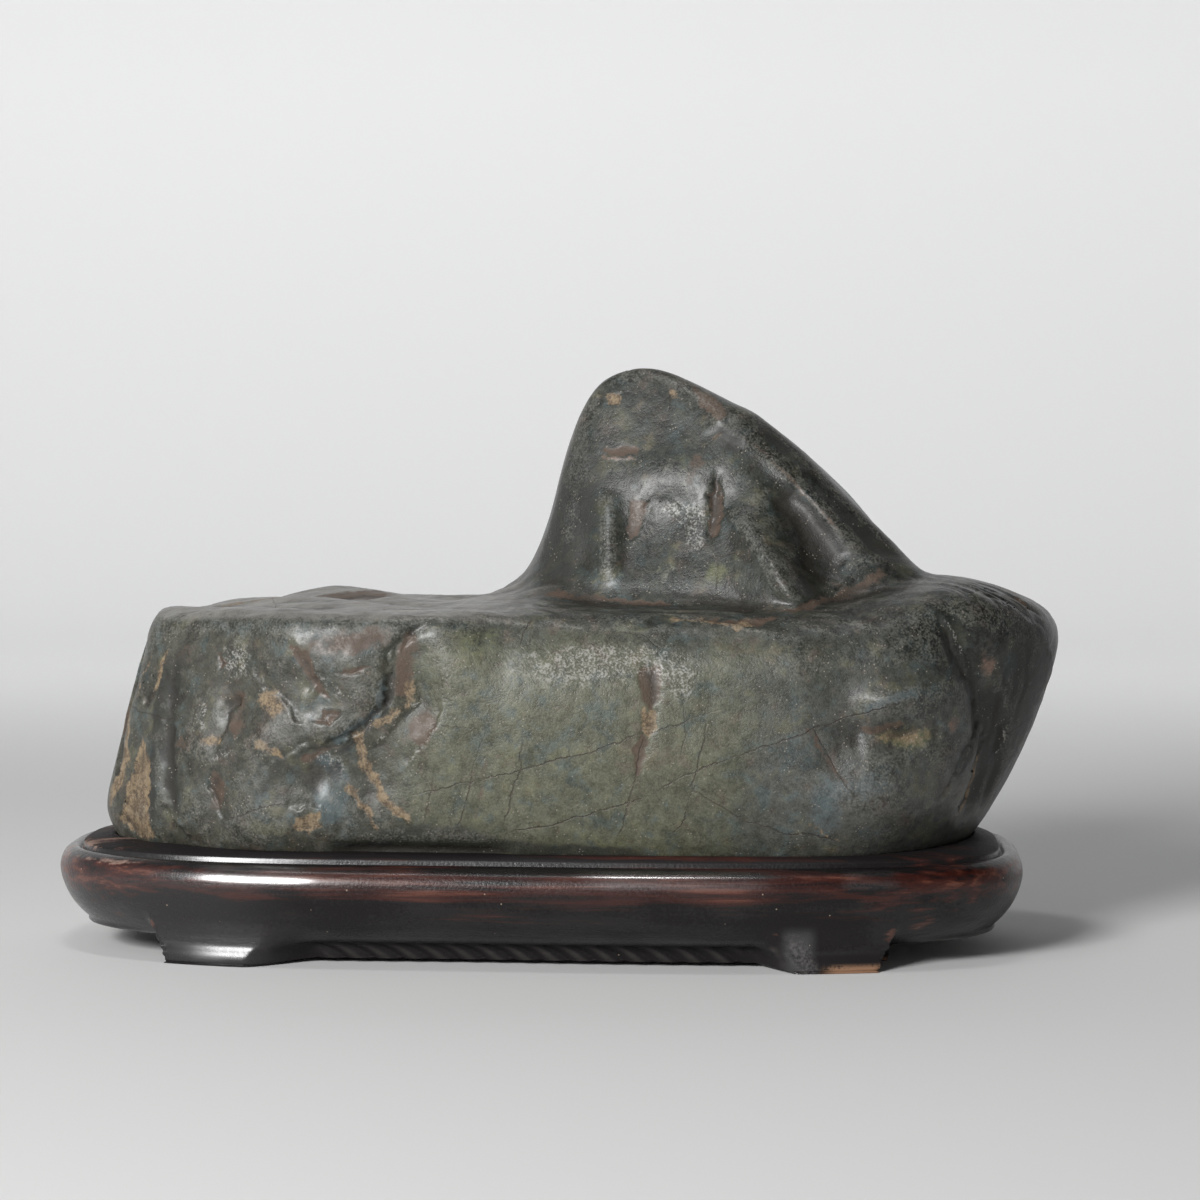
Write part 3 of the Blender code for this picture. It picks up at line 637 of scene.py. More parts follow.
def stained(colour, wandering, normals):
    """How strongly each point is stained with a colour, about 0 to 1.5."""
    total = np.zeros(len(wandering))
    for side, its_colour, outline, _, edge in CHIPS:
        if its_colour == colour:
            flat, facing = seen_from(side, wandering, normals)
            gap, _, turn = follow(flat, outline + outline[:1])
            total += facing * ramp(gap * np.sign(turn), -1.0, 0.8 + 0.5 * edge)
    for side, its_colour, path, half_width, strength in STREAKS:
        if its_colour == colour:
            flat, facing = seen_from(side, wandering, normals)
            total += facing * groove(flat, path, strength, half_width)
    for side, its_colour, across, up, half_width, half_height, lean, strength in PATCHES:
        if its_colour == colour:
            flat, facing = seen_from(side, wandering, normals)
            turn = radians(lean)
            along = (flat - (across, up)) @ (cos(turn), sin(turn))
            over = (flat - (across, up)) @ (-sin(turn), cos(turn))
            total += strength * facing * swell(along / half_width, over / half_height)
    return total


def hollowness(mesh):
    """How far each point lies below (+) or above (-) the average of the ground round it."""
    ends = np.empty(len(mesh.edges) * 2, int)
    mesh.edges.foreach_get("vertices", ends)
    first, second = ends.reshape(-1, 2).T
    count = np.bincount(ends, minlength=len(mesh.vertices))[:, None]
    points = points_of(mesh)
    level = points
    for _ in range(8):
        total = np.zeros_like(level)
        np.add.at(total, first, level[second])
        np.add.at(total, second, level[first])
        level = total / count
    return ((level - points) * normals_of(mesh)).sum(axis=1)


def near_a_mark(points, normals):
    """True where the surface is close to the edge of a step or a chip."""
    wandering = points + drift(points)
    near = np.zeros(len(points), bool)
    closed = [(side, outline + outline[:1]) for side, _, outline, _, _ in CHIPS]
    for side, path in [mark[:2] for mark in STEPS] + closed:
        flat, facing = seen_from(side, wandering, normals)
        near |= (follow(flat, path)[0] < 1.3) & (facing > 0.1)
    return near


def refine(mesh):
    """Splits edges until they are short enough for the marks: shortest where a step or a chip has
    its edge, and shorter on the front than elsewhere."""
    shape = bmesh.new()
    shape.from_mesh(mesh)
    bmesh.ops.triangulate(shape, faces=shape.faces)
    for _ in range(3):
        shape.normal_update()
        middles = np.array([(edge.verts[0].co + edge.verts[1].co) / 2 for edge in shape.edges]) / METRES
        normals = np.array([edge.verts[0].normal for edge in shape.edges])
        lengths = np.array([edge.calc_length() for edge in shape.edges]) / METRES
        wanted = np.where(normals[:, 1] < -0.2, 1.3, 2.6)
        wanted[near_a_mark(middles, normals)] = 0.55
        long_edges = [edge for edge, too_long in zip(shape.edges, lengths > wanted * 1.25) if too_long]
        bmesh.ops.subdivide_edges(shape, edges=long_edges, cuts=1)
        bmesh.ops.triangulate(shape, faces=shape.faces)
    shape.to_mesh(mesh)
    shape.free()


def attach(mesh, name, values):
    mesh.attributes.new(name, "FLOAT", "POINT").data.foreach_set("value", values)


def make_stone():
    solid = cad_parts["stone"]
    shape = bmesh.new()
    shape.from_mesh(solid.data)
    bmesh.ops.remove_doubles(shape, verts=shape.verts, dist=0.00001)
    mesh = bpy.data.meshes.new("stone_surface")
    shape.to_mesh(mesh)
    shape.free()
    piece = bpy.data.objects.new("stone_surface", mesh)
    bpy.context.scene.collection.objects.link(piece)
    skin = piece.modifiers.new("even skin", "REMESH")
    skin.mode = "VOXEL"
    skin.voxel_size = SKIN_VOXEL * METRES
    bpy.context.view_layer.update()
    mesh = bpy.data.meshes.new_from_object(piece.evaluated_get(bpy.context.evaluated_depsgraph_get()))
    piece.modifiers.remove(skin)
    piece.data = mesh
    set_points(mesh, wear_down(points_of(mesh), 5))
    refine(mesh)
    set_points(mesh, wear_down(points_of(mesh), 4))
    points, normals = points_of(mesh), normals_of(mesh)
    drifting = drift(points)
    wandering = points + drifting
    set_points(mesh, points + fine_relief(points, wandering, normals)[:, None] * normals)
    mesh.shade_smooth()
    for colour in COLOURS:
        attach(mesh, colour, stained(colour, wandering, normals))
    for name, lines in (("seam", SEAMS), ("crack", CRACKS)):
        line_gap, line_depth = nearest_line(lines, points + 0.5 * drifting, normals)
        attach(mesh, name + "_gap", line_gap)
        attach(mesh, name + "_depth", line_depth)
    attach(mesh, "hollow", hollowness(mesh))
    attach(mesh, "top", ramp(normals[:, 2], 0.6, 0.9))
    return piece


stone = make_stone()


class Wire:
    """A value or colour in a material. Sums on it add their own Math nodes."""

    def __init__(self, tree, socket=None):
        self.tree = tree
        self.socket = socket

    def node(self, kind, settings=None, sockets=None, output=0):
        """Adds any node: its settings first, then the values or links of its sockets."""
        made = self.tree.nodes.new(kind)
        for name, value in (settings or {}).items():
            setattr(made, name, value)
        for name, value in (sockets or {}).items():
            if isinstance(value, Wire):
                self.tree.links.new(value.socket, made.inputs[name])
            else:
                made.inputs[name].default_value = value
        return Wire(self.tree, made.outputs[output])

    def sum(self, operation, *values):
        return self.node("ShaderNodeMath", {"operation": operation}, dict(enumerate(values)))

    def __add__(self, other):
        return self.sum("ADD", self, other)

    __radd__ = __add__

    def __mul__(self, other):
        return self.sum("MULTIPLY", self, other)

    __rmul__ = __mul__

    def __sub__(self, other):
        return self.sum("SUBTRACT", self, other)

    def __rsub__(self, other):
        return self.sum("SUBTRACT", other, self)

    def __abs__(self):
        return self.sum("ABSOLUTE", self)

    def between(self, low, high):
        """0 below low and 1 above high, with a smooth rise."""
        sockets = {"Value": self, "From Min": low, "From Max": high}
        return self.node("ShaderNodeMapRange", {"interpolation_type": "SMOOTHSTEP"}, sockets)

    def painted(self, colour, share):
        """This colour with another laid over it."""
        return self.node("ShaderNodeMix", {"data_type": "RGBA"}, {0: share, 6: self, 7: colour}, 2)

    def shaded(self, amount):
        """This colour made darker or lighter."""
        grey = self.node("ShaderNodeCombineColor", {}, {"Red": amount, "Green": amount, "Blue": amount})
        mix = {"data_type": "RGBA", "blend_type": "MULTIPLY"}
        return self.node("ShaderNodeMix", mix, {0: 1.0, 6: self, 7: grey}, 2)

    def mottle(self, size, detail=3.0, roughness=0.55, stretch=(1, 1, 1), shift=0.0):
        """Noise from 0 to 1 at this place, with patches of a size in millimetres."""
        mapping = {"Vector": self, "Scale": stretch, "Location": (shift, shift, shift)}
        place = self.node("ShaderNodeMapping", {}, mapping)
        sockets = {"Vector": place, "Scale": 1 / (size * METRES), "Detail": detail, "Roughness": roughness}
        return self.node("ShaderNodeTexNoise", {}, sockets)

    def pits(self, size):
        """Distance from the nearest of many scattered points, 0 to about 1."""
        sockets = {"Vector": self, "Scale": 1 / (size * METRES)}
        return self.node("ShaderNodeTexVoronoi", {}, sockets)


def new_material(name):
    """An empty material: its principled shader, and a wire for the place on the object."""
    material = bpy.data.materials.new(name)
    material.use_nodes = True
    tree = material.node_tree
    shader = tree.nodes["Principled BSDF"]
    place = Wire(tree).node("ShaderNodeTexCoord", output="Object")
    return material, shader, place


def connect(shader, name, wire):
    wire.tree.links.new(wire.socket, shader.inputs[name])


def attribute(place, name):
    return place.node("ShaderNodeAttribute", {"attribute_name": name}, output="Fac")


def stone_material():
    material, shader, place = new_material("waxed_green_grey_stone")
    x = place.node("ShaderNodeSeparateXYZ", {}, {"Vector": place}, "X")
    z = place.node("ShaderNodeSeparateXYZ", {}, {"Vector": place}, "Z")
    broad = place.mottle(34, 4, 0.6)
    blotch = place.mottle(9, 5, 0.62, shift=0.3)
    fine = place.mottle(2.6, 5, 0.65, shift=0.7)
    grain = place.mottle(0.6, 3, 0.6, shift=0.9)
    tint = place.mottle(5, 5, 0.65, shift=4.0)
    drifted = (broad - 0.5) * 0.06 + (blotch - 0.5) * 0.02

    # Dark grey-green stone, with an olive band across the middle of the front and a browner left.
    colour = place.node("ShaderNodeRGB")
    colour.socket.default_value = (0.034, 0.037, 0.031, 1)
    middle = (abs(x - 0.005) + drifted).between(0.075, 0.025) * (z + drifted * 0.4).between(0.090, 0.078)
    colour = colour.painted((0.088, 0.089, 0.059, 1), middle * 0.95)
    left = (x + drifted).between(-0.030, -0.055) * z.between(0.092, 0.084)
    colour = colour.painted((0.052, 0.051, 0.040, 1), left * 0.9)
    right = (x + drifted).between(0.045, 0.080) * z.between(0.085, 0.060)
    colour = colour.painted((0.064, 0.065, 0.057, 1), right * 0.9)
    colour = colour.painted((0.052, 0.075, 0.076, 1), (tint + broad * 0.4).between(0.72, 0.90) * 0.55)
    colour = colour.painted((0.085, 0.060, 0.048, 1), (tint + broad * 0.4).between(0.66, 0.50) * 0.45)
    colour = colour.painted((0.100, 0.098, 0.050, 1), (blotch - tint * 0.5).between(0.30, 0.44) * 0.35)
    flowing = place.mottle(1.8, 5, 0.6, stretch=(0.16, 0.5, 1), shift=5.0)
    top = attribute(place, "top")
    colour = colour.painted((0.105, 0.092, 0.078, 1), top * flowing.between(0.50, 0.66) * 0.55)
    # Painted reflection: the left of the table top is painted paler, for the sheen of the bright backdrop seen at a
    # grazing angle.
    colour = colour.painted((0.230, 0.218, 0.198, 1), top * (x + drifted).between(0.0, -0.03) * 0.55)
    colour = colour.painted((0.022, 0.021, 0.019, 1), top * flowing.between(0.46, 0.34) * 0.6)
    # Painted shade: the rounded top edge of the front at the right, and the right end beyond x = 92 mm, are painted
    # darker.
    painted_shade_crest = (x + drifted).between(0.045, 0.075) * z.between(0.074, 0.088)
    coarse, small, tiny = (wire.between(0.30, 0.70) for wire in (blotch, fine, grain))
    colour = colour.shaded(0.42 + coarse * 0.32 + small * 0.48 + tiny * 0.38 - (x - 0.092).between(0, 0.03) * 0.25 - painted_shade_crest * 0.26 - z.between(0.099, 0.112) * 0.13)

    ragged = (blotch - 0.5) * 0.9 + (fine - 0.5) * 1.2 + (grain - 0.5) * 0.4

    def patch(name, low, high):
        return (attribute(place, name) + ragged).between(low, high)

    blue, moss, dark = patch("blue", 0.3, 0.9), patch("moss", 0.3, 0.9), patch("dark", 0.3, 0.9)
    rust, bare, clay = patch("rust", 0.35, 0.9), patch("tan", 0.4, 0.9), patch("clay", 0.3, 1.0)
    pale = patch("pale", 0.35, 0.9)
    uneven = 0.55 + fine * 0.6 + grain * 0.3
    colour = colour.painted((0.070, 0.098, 0.108, 1), blue * 0.6)
    colour = colour.painted((0.125, 0.128, 0.060, 1), moss * 0.6)
    # Dark marks: darker stone, and painted shade along the stone's foot in the pocket, in the crevice at the left end
    # and on the right end.
    colour = colour.painted((0.020, 0.020, 0.018, 1), dark * 0.75)
    colour = colour.painted((0.082, 0.054, 0.038, 1), rust * uneven * 0.85)
    colour = colour.painted((0.105, 0.072, 0.045, 1), bare * 0.85)
    colour = colour.painted((0.240, 0.180, 0.110, 1), bare * (small * 0.7 + tiny * 0.5).between(0.25, 0.95) * 0.9)
    colour = colour.painted((0.175, 0.105, 0.078, 1), clay * uneven * 0.7)
    specks = place.pits(1.1)
    # Painted highlight: pale glints painted into the colour on the pale patches, where the coat is also a little
    # heavier.
    painted_glint_specks = pale * (grain + fine * 0.6).between(0.74, 0.98)
    colour = colour.painted((0.34, 0.33, 0.31, 1), painted_glint_specks * 0.65)

    # Painted shade: the deeper a hollow, the darker its colour.
    hollow = attribute(place, "hollow")
    colour = colour.painted((0.018, 0.015, 0.012, 1), hollow.between(0.05, 0.30) * 0.65)
    scuffed = (0 - hollow).between(0.05, 0.22) * (grain + fine * 0.5).between(0.62, 0.95)
    colour = colour.painted((0.17, 0.165, 0.145, 1), scuffed * 0.45)

    def hairline(name, half_width):
        wobble = (fine - 0.5) * 1.3 + (grain - 0.5) * 0.4
        gap = abs(attribute(place, name + "_gap") + wobble)
        broken = (blotch + (fine - 0.5) * 0.6).between(0.34, 0.54)
        return gap.between(half_width * 2.2, half_width * 0.6) * attribute(place, name + "_depth") * broken

    lines = place.sum("MAXIMUM", hairline("seam", 0.14), hairline("crack", 0.14))
    colour = colour.painted((0.030, 0.020, 0.015, 1), lines * 0.7)
    light_specks = specks.between(0.24, 0.12) * place.mottle(4, 2, 0.5, shift=2.0).between(0.50, 0.62)
    colour = colour.painted((0.26, 0.23, 0.19, 1), light_specks * 0.65)

    connect(shader, "Base Color", colour)

    rough = 0.40 + (fine - 0.5) * 0.30 + (grain - 0.5) * 0.25 + (blotch - 0.5) * 0.2
    rough = rough + pale * 0.10 + bare * 0.2 + rust * 0.2 + left * 0.06 + dark * 0.18
    connect(shader, "Roughness", place.sum("MAXIMUM", rough, 0.24))

    height = (grain - 0.5) * 0.11 + (fine - 0.5) * 0.17 + (blotch - 0.5) * 0.25
    height = height - specks.between(0.22, 0.08) * 0.015 - lines * 0.12
    height = height - (rust * 0.6 + bare * 0.5) * place.pits(0.8).between(0.5, 0.1) * 0.05
    bump = place.node("ShaderNodeBump", {}, {"Strength": 1.0, "Distance": METRES, "Height": height})
    connect(shader, "Normal", bump)
    shader.inputs["Specular IOR Level"].default_value = 0.36
    wax = (blotch * 0.5 + fine * 0.6 + grain * 0.3).between(0.58, 0.84)
    connect(shader, "Coat Weight", wax * (1 - pale * 0.6) * (1 - dark * 0.7) * 0.36 + painted_glint_specks * 0.2)
    shader.inputs["Coat Roughness"].default_value = 0.27
    return material


stone.data.materials.clear()
stone.data.materials.append(stone_material())
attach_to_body(stone, "root")
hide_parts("stone")


# ----------------------------------------------------------------------------------------------
# The stand: one block of wood, carved to fit the stone and lacquered nearly black. A sloping lip
# holds the stone, a fine groove and a rounded shoulder run round below it, and four toes spread
# from a set-back skirt with slanting gouge marks. The lacquer is worn to red along the edges.
# ----------------------------------------------------------------------------------------------

STAND_MIDDLE_X = -5.0
STAND_HALF_LENGTH = 130.5
STAND_HALF_DEPTH = 56.0
POCKET_FLOOR = 19.7
LIP_TOP = 29.3
CLEARANCE = 0.4
STAND_STEPS = 640
RINGS_BETWEEN = 6

# Cross-section outside the pocket: how far in from the widest line at the front, the same at the
# ends, and the height. Two rows at nearly one place make a crisp edge.
STAND_SECTION = [
    (9.0, 6.8, 28.2),  # outer edge of the lip
    (8.7, 6.4, 27.6),
    (8.2, 5.9, 26.1),  # groove
    (7.8, 5.5, 26.3),
    (6.6, 4.6, 27.0),  # shoulder
    (4.2, 3.0, 26.7),
    (1.3, 1.0, 25.0),
    (0.0, 0.0, 21.5),  # widest line
    (0.9, 0.9, 17.0),
]
# Below that, how far in and how high: first down to the set-back skirt, then down to a foot.
UNDERSIDE = [
    ((3.4, 12.2), (2.9, 12.4)),
    ((7.2, 8.2), (3.5, 8.8)),
    ((10.4, 6.2), (3.4, 5.8)),
    ((12.2, 5.6), (2.9, 4.0)),
    ((13.2, 4.2), (2.4, 2.4)),
    ((13.9, 2.0), (2.2, 1.2)),
    ((14.1, 1.3), (2.5, 0.5)),
    ((14.6, 1.2), (3.2, 0.0)),
    ((17.5, 1.2), (20.0, 0.0)),
    ((19.5, 4.5), (22.5, 4.5)),
]
SKIRT_ROWS_FROM = 3
SKIRT_HALF_LENGTH = 95.0  # it runs straight across under the ends of the stand
TOES = [(-107.0, -76.4, 3.0, 12.0), (61.6, 92.0, 4.5, 3.0)]
TOE_TAPER = 4.4
TOE_TOP = 9.0
GOUGE_PITCH = 8.3
GOUGE_DEPTH = 1.1
GOUGE_SWEEP = 11.0


def stone_edge(outer, inner, level):
    """Where straight lines from outer to inner points (x, y) meet the stone at a level."""
    out, back = np.zeros(len(outer)), np.ones(len(outer))
    heights = np.full(len(outer), level)
    for _ in range(30):
        middle = (out + back) / 2
        spot = outer + middle[:, None] * (inner - outer)
        outside = stone_form(np.column_stack([spot, heights])) > 0
        out, back = np.where(outside, middle, out), np.where(outside, back, middle)
    return outer + out[:, None] * (inner - outer)


def stand_outline(steps):
    """Points round the stand's widest line, and for each the point on its spine that it faces."""
    turn = np.linspace(0, 2 * np.pi, steps, endpoint=False)
    fullness = np.where(np.cos(turn) < 0, 2 / 2.7, 2 / 3.3)
    x = np.sign(np.cos(turn)) * np.abs(np.cos(turn)) ** fullness * STAND_HALF_LENGTH
    y = np.sign(np.sin(turn)) * np.abs(np.sin(turn)) ** fullness * STAND_HALF_DEPTH
    outline = np.column_stack([x, y])
    # A slight waist left of the middle of the front.
    outline[:, 1] += 1.6 * swell((x + 30) / 35) * ramp(-y, 20, 50)
    spine = np.column_stack([0.55 * x, np.zeros(steps)])
    middle = np.array([STAND_MIDDLE_X, 0])
    return outline + middle, spine + middle


def evenly(points, spare, steps):
    """The same closed line with its points evenly spaced, and the spare values that go with them."""
    loop = np.vstack([points, points[:1]])
    spare_loop = np.vstack([spare, spare[:1]])
    along = np.concatenate([[0], np.cumsum(np.linalg.norm(np.diff(loop, axis=0), axis=1))])
    wanted = np.linspace(0, along[-1], steps, endpoint=False)
    pick = [np.interp(wanted, along, column) for column in np.hstack([loop, spare_loop]).T]
    return np.column_stack(pick[:2]), np.column_stack(pick[2:]), wanted, along[-1]


def smooth_between(rows, count):
    """Extra rows between the given ones, on a smooth curve through them all."""
    rows = np.array(rows)
    before = np.concatenate([rows[:1], rows[:-1]])
    after = np.concatenate([rows[1:], rows[-1:]])
    slope = (after - before) / 2
    filled = []
    for here in range(len(rows) - 1):
        for t in np.arange(count) / count:
            weights = (2 * t**3 - 3 * t**2 + 1, t**3 - 2 * t**2 + t, 3 * t**2 - 2 * t**3, t**3 - t**2)
            parts = (rows[here], slope[here], rows[here + 1], slope[here + 1])
            filled.append(sum(weight * part for weight, part in zip(weights, parts)))
    return filled + [rows[-1]]


def toe_share(x, narrowing):
    """How much each place along X belongs to a toe, 0 to 1."""
    share = np.zeros(len(x))
    for start, end, flare_before, flare_after in TOES:
        start, end = start + narrowing, end - narrowing
        toe = ramp(x, start - flare_before, start) * ramp(-x, -end - flare_after, -end)
        share = np.maximum(share, toe)
    return share


def stand_rings():
    """Closed rings of points from the middle of the pocket's floor round to the underside."""
    outline, spine, along, length = evenly(*stand_outline(STAND_STEPS * 4), STAND_STEPS)
    x = outline[:, 0]
    inward = spine - outline
    inward /= np.linalg.norm(inward, axis=1)[:, None]
    end_share = ramp(np.abs(x - STAND_MIDDLE_X), 60, 125)

    wall = stone_edge(outline, spine, LIP_TOP) - CLEARANCE * inward
    wall_inset = ((wall - outline) * inward).sum(axis=1)
    insets, heights = [], []
    lip_edge = STAND_SECTION[0][0] + end_share * (STAND_SECTION[0][1] - STAND_SECTION[0][0])
    for share, height in ((0.0, 29.1), (0.08, 29.5), (0.45, 29.4), (0.8, 28.8)):
        insets.append(wall_inset + share * (lip_edge - wall_inset))
        heights.append(np.full(len(x), height))
    for front_inset, end_inset, height in STAND_SECTION:
        insets.append(front_inset + end_share * (end_inset - front_inset))
        heights.append(np.full(len(x), height))
    skirt_from = len(insets) + SKIRT_ROWS_FROM - 1
    past_skirt = np.abs(x - STAND_MIDDLE_X) - SKIRT_HALF_LENGTH
    end_inset = past_skirt / np.maximum(np.abs(inward[:, 0]), 0.2)
    first_inset = UNDERSIDE[SKIRT_ROWS_FROM][0][0]
    for row, ((skirt_inset, skirt_height), (foot_inset, foot_height)) in enumerate(UNDERSIDE):
        if row >= SKIRT_ROWS_FROM:
            skirt_inset = np.maximum(skirt_inset, end_inset + skirt_inset - first_inset)
        foot_share = toe_share(x, TOE_TAPER * ramp(-foot_height, -TOE_TOP, 0))
        insets.append(skirt_inset + foot_share * (foot_inset - skirt_inset))
        heights.append(skirt_height + foot_share * (foot_height - skirt_height))
    insets = np.array(smooth_between(insets, RINGS_BETWEEN))
    heights = np.array(smooth_between(heights, RINGS_BETWEEN))

    # Gouge marks: overlapping arcs that start level under the belly and sweep down to the right.
    drop = np.clip((6.0 - heights) / 4.8, 0, 1)
    front_way = np.sign(-outline[:, 1])
    strand = (front_way * along - GOUGE_SWEEP * (drop + np.sqrt(drop * (2 - drop))) / 2) / GOUGE_PITCH
    strand -= np.floor(strand)
    on_skirt = ramp(drop, 0, 0.12) * (1 - toe_share(x, 0.0)) * ramp(heights, 0.8, 1.2)
    on_skirt[: skirt_from * RINGS_BETWEEN] = 0
    on_skirt[(skirt_from + 5) * RINGS_BETWEEN :] = 0
    insets = insets + GOUGE_DEPTH * on_skirt * np.abs(2 * strand - 1) ** 2.2

    rings = [np.column_stack([wall, np.full(len(x), POCKET_FLOOR)])]
    for inset, height in zip(insets, heights):
        rings.append(np.column_stack([outline + inset[:, None] * inward, height]))
    return rings


def make_stand():
    rings = stand_rings()
    points = np.vstack(rings)
    steps = len(rings[0])
    here = np.arange(steps)
    after = (here + 1) % steps
    faces = []
    for ring in range(len(rings) - 1):
        upper, lower = ring * steps, (ring + 1) * steps
        faces += np.column_stack([upper + here, lower + here, lower + after, upper + after]).tolist()
    mesh = bpy.data.meshes.new("stand_wood")
    mesh.from_pydata((points * METRES).tolist(), [], faces)
    shape = bmesh.new()
    shape.from_mesh(mesh)
    shape.verts.ensure_lookup_table()
    shape.faces.new([shape.verts[spot] for spot in here])
    shape.faces.new([shape.verts[len(points) - 1 - spot] for spot in here])
    bmesh.ops.recalc_face_normals(shape, faces=shape.faces)
    caps = [face for face in shape.faces if len(face.verts) > 4]
    bmesh.ops.triangulate(shape, faces=caps)
    shape.to_mesh(mesh)
    shape.free()
    mesh.shade_smooth()
    mesh.set_sharp_from_angle(angle=radians(60))
    attach(mesh, "edge", -hollowness(mesh))
    attach(mesh, "toe", toe_share(points_of(mesh)[:, 0], 0.0))
    piece = bpy.data.objects.new("stand_wood", mesh)
    bpy.context.scene.collection.objects.link(piece)
    return piece


def lacquer_material():
    material, shader, place = new_material("worn_dark_lacquer")
    x = place.node("ShaderNodeSeparateXYZ", {}, {"Vector": place}, "X")
    z = place.node("ShaderNodeSeparateXYZ", {}, {"Vector": place}, "Z")
    streak = place.mottle(1.6, 5, 0.6, stretch=(0.035, 0.5, 1))
    long_streak = place.mottle(7, 4, 0.6, stretch=(0.10, 0.5, 1), shift=1.0)
    broad = place.mottle(40, 3, 0.5, shift=2.0)
    fine = place.mottle(0.8, 3, 0.6, shift=3.0)

    colour = place.node("ShaderNodeRGB")
    colour.socket.default_value = (0.0060, 0.0045, 0.0048, 1)
    grainy = (long_streak - 0.5) * 1.4 + (streak - 0.5) * 2.2 + (broad - 0.5) * 1.3
    rubbed = z.between(0.016, 0.021) * z.between(0.0268, 0.0250) * 0.45 - z.between(0.015, 0.009) * 0.6
    colour = colour.painted((0.042, 0.010, 0.0065, 1), (grainy + rubbed).between(0.0, 0.55) * 0.85)
    colour = colour.painted((0.130, 0.040, 0.022, 1), (grainy + rubbed).between(0.50, 0.85) * 0.6)
    edge = attribute(place, "edge")
    above_foot = z.between(0.006, 0.012)
    worn = (edge * 2.4 * above_foot + grainy).between(0.45, 1.0)
    colour = colour.painted((0.110, 0.045, 0.030, 1), worn * 0.6)
    left_lip = (x + 0.085).between(0.0, -0.035) * z.between(0.024, 0.026)
    bare = (edge * 2.4 * left_lip + left_lip * 0.3 + grainy + (fine - 0.5) * 0.8).between(0.55, 1.05)
    colour = colour.painted((0.30, 0.22, 0.18, 1), bare * 0.6)
    sole = (x - 0.070).between(0.0, 0.006) * z.between(0.0028, 0.0010) * (0.012 - abs(x - 0.079)).between(0, 0.003)
    colour = colour.painted((0.30, 0.17, 0.10, 1), sole * (streak + fine * 0.6).between(0.60, 0.80) * 0.85)
    # Painted highlight: the crests of the gouges in the shaded skirt are painted lighter.
    painted_gouge_highlight = edge.between(0.10, 0.40) * z.between(0.0075, 0.0055) * (1 - attribute(place, "toe"))
    colour = colour.painted((0.085, 0.075, 0.07, 1), painted_gouge_highlight * 0.6)
    specks = place.pits(6).between(0.045, 0.025)
    colour = colour.painted((0.42, 0.33, 0.25, 1), specks * 0.6)
    # Painted highlight: a pale streak painted down the left flank of the right toe's nose.
    painted_nose_highlight = abs(x - 0.0685 + z * 0.5).between(0.0042, 0.0005) * z.between(0.012, 0.006)
    colour = colour.painted((0.30, 0.28, 0.27, 1), painted_nose_highlight * (fine + broad * 0.3).between(0.45, 1.0) * 0.35)
    connect(shader, "Base Color", colour)
    on_lip = z.between(0.0276, 0.0282)
    low = z.between(0.0075, 0.0050) * (1 - attribute(place, "toe"))
    rough = 0.34 + (fine - 0.5) * 0.30 + (broad - 0.5) * 0.25 + (streak - 0.5) * 0.20
    rough = rough + worn * 0.10 + bare * 0.25 + on_lip * 0.35 + low * 0.25
    left_nose = abs(x + 0.089).between(0.0065, 0.002) * z.between(0.011, 0.005)
    right_nose = abs(x - 0.0655).between(0.0055, 0.002) * z.between(0.013, 0.009)
    rough = rough + attribute(place, "toe") * z.between(0.0065, 0.0040) * (1 - left_nose * 0.7) * 0.6
    connect(shader, "Roughness", rough)
    height = (fine - 0.5) * 0.10 + (streak - 0.5) * 0.14 + (long_streak - 0.5) * 0.15 + specks * 0.05
    bump = place.node("ShaderNodeBump", {}, {"Strength": 1.0, "Distance": METRES, "Height": height})
    connect(shader, "Normal", bump)
    gloss = (long_streak * 0.6 + broad * 0.8 + (fine - 0.5) * 0.4).between(0.60, 0.78) * 0.15
    gloss = gloss + (x + 0.060).between(0.0, -0.03) * 0.34
    polished = x.between(0.006, 0.020) * x.between(0.062, 0.050) + abs(x - 0.084).between(0.009, 0.004)
    polished = (polished + abs(x + 0.076).between(0.018, 0.008)) * (0.6 + (streak + fine * 0.5).between(0.5, 0.9))
    gloss = gloss + polished * z.between(0.0215, 0.0235) * z.between(0.0268, 0.0262)
    gloss = gloss + right_nose * 0.7
    connect(shader, "Coat Weight", (0.035 + gloss) * (1 - low) * (1 - on_lip))
    shader.inputs["Coat Roughness"].default_value = 0.22
    shader.inputs["Coat IOR"].default_value = 2.0
    shader.inputs["Specular IOR Level"].default_value = 0.28
    return material


stand = make_stand()
stand.data.materials.append(lacquer_material())
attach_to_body(stand, "root")
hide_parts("stand")


# ----------------------------------------------------------------------------------------------
# The studio: a plain pale floor that sweeps up behind the object, one large soft light from the
# front left and a pale room round it, and the camera a little above the table's level.
# ----------------------------------------------------------------------------------------------

FLOOR_HALF_WIDTH = 2600.0
FLOOR_FRONT = -2200.0
WALL_Y = 1300.0  # far enough back to walk round the object inside it
SWEEP_RADIUS = 320.0
WALL_TOP = 1800.0


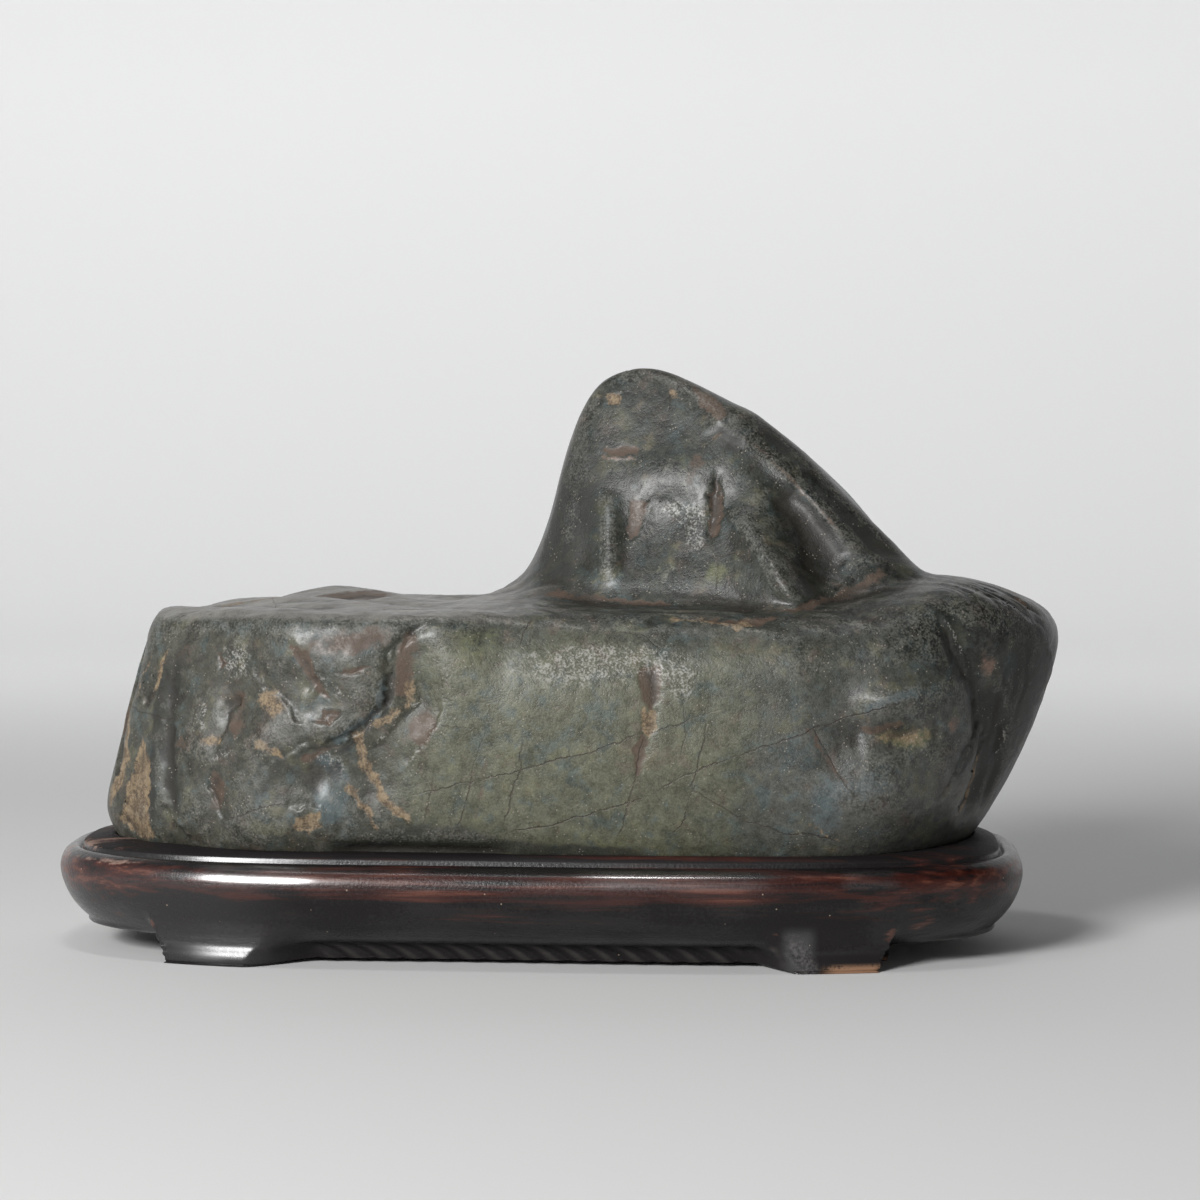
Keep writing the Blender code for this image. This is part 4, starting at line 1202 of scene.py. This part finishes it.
def make_backdrop():
    bend = [(WALL_Y - SWEEP_RADIUS + SWEEP_RADIUS * sin(turn), SWEEP_RADIUS - SWEEP_RADIUS * cos(turn)) for turn in np.linspace(0, pi / 2, 13)]
    profile = [(FLOOR_FRONT, 0.0)] + bend + [(WALL_Y, WALL_TOP)]
    shape = bmesh.new()
    rows = [
        [shape.verts.new((side * FLOOR_HALF_WIDTH * METRES, y * METRES, z * METRES)) for y, z in profile]
        for side in (-1, 1)
    ]
    for here in range(len(profile) - 1):
        shape.faces.new((rows[0][here], rows[1][here], rows[1][here + 1], rows[0][here + 1]))
    mesh = bpy.data.meshes.new("backdrop")
    shape.to_mesh(mesh)
    shape.free()
    mesh.shade_smooth()
    backdrop = bpy.data.objects.new("backdrop", mesh)
    bpy.context.scene.collection.objects.link(backdrop)
    material, shader, place = new_material("pale_plaster")
    # The far part is paler and glows: painted light, an emission that stands in for light from behind, so that the
    # floor and the wall read as one.
    far = place.node("ShaderNodeSeparateXYZ", {}, {"Vector": place}, "Y").between(0.25, 0.85)
    plaster = place.node("ShaderNodeRGB")
    plaster.socket.default_value = (0.655, 0.655, 0.65, 1)
    connect(shader, "Base Color", plaster.painted((0.78, 0.78, 0.78, 1), far))
    connect(shader, "Emission Color", plaster.painted((1, 1, 1, 1), 1.0).shaded(far))
    shader.inputs["Emission Strength"].default_value = 0.20
    shader.inputs["Roughness"].default_value = 0.85
    mesh.materials.append(material)
    return backdrop


def soft_light(name, bearing, height, distance, size, power):
    """A square soft light that looks at the middle of the stone."""
    data = bpy.data.lights.new(name, "AREA")
    data.shape = "RECTANGLE"
    data.size, data.size_y = size
    data.energy = power
    light = bpy.data.objects.new(name, data)
    turn, rise = radians(bearing), radians(height)
    way = Vector((sin(turn) * cos(rise), -cos(turn) * cos(rise), sin(rise)))
    light.location = Vector((0, 0, 0.07)) + way * distance
    light.rotation_euler = way.to_track_quat("Z", "Y").to_euler()
    bpy.context.scene.collection.objects.link(light)


make_backdrop()
soft_light("key_light", -29, 24, 1.6, (0.5, 0.45), 28)
soft_light("top_light", -30, 79, 1.2, (0.32, 0.12), 2.0)

world = bpy.data.worlds.new("pale_room")
world.use_nodes = True
way = Wire(world.node_tree).node("ShaderNodeTexCoord", output="Generated")
up = way.node("ShaderNodeSeparateXYZ", {}, {"Vector": way}, "Z")
background = world.node_tree.nodes["Background"]
background.inputs["Color"].default_value = (0.97, 0.98, 1.0, 1)
side = way.node("ShaderNodeSeparateXYZ", {}, {"Vector": way}, "X")
connect(background, "Strength", 0.51 - up.between(0.0, 0.8) * 0.34 - side.between(-0.2, 0.9) * 0.27)
bpy.context.scene.world = world

CAMERA_PLACE = (65.3, -997.6, 165.0)
CAMERA_TILT_DOWN = 4.12
CAMERA_TURN_LEFT = 3.1
LENS = 110.8
lens_data = bpy.data.cameras.new("camera")
lens_data.lens = LENS
lens_data.sensor_width = 36.0
camera = bpy.data.objects.new("camera", lens_data)
camera.location = Vector(CAMERA_PLACE) * METRES
camera.rotation_euler = (radians(90 - CAMERA_TILT_DOWN), 0, radians(CAMERA_TURN_LEFT))
bpy.context.scene.collection.objects.link(camera)
bpy.context.scene.camera = camera
bpy.context.scene.view_settings.view_transform = "Standard"
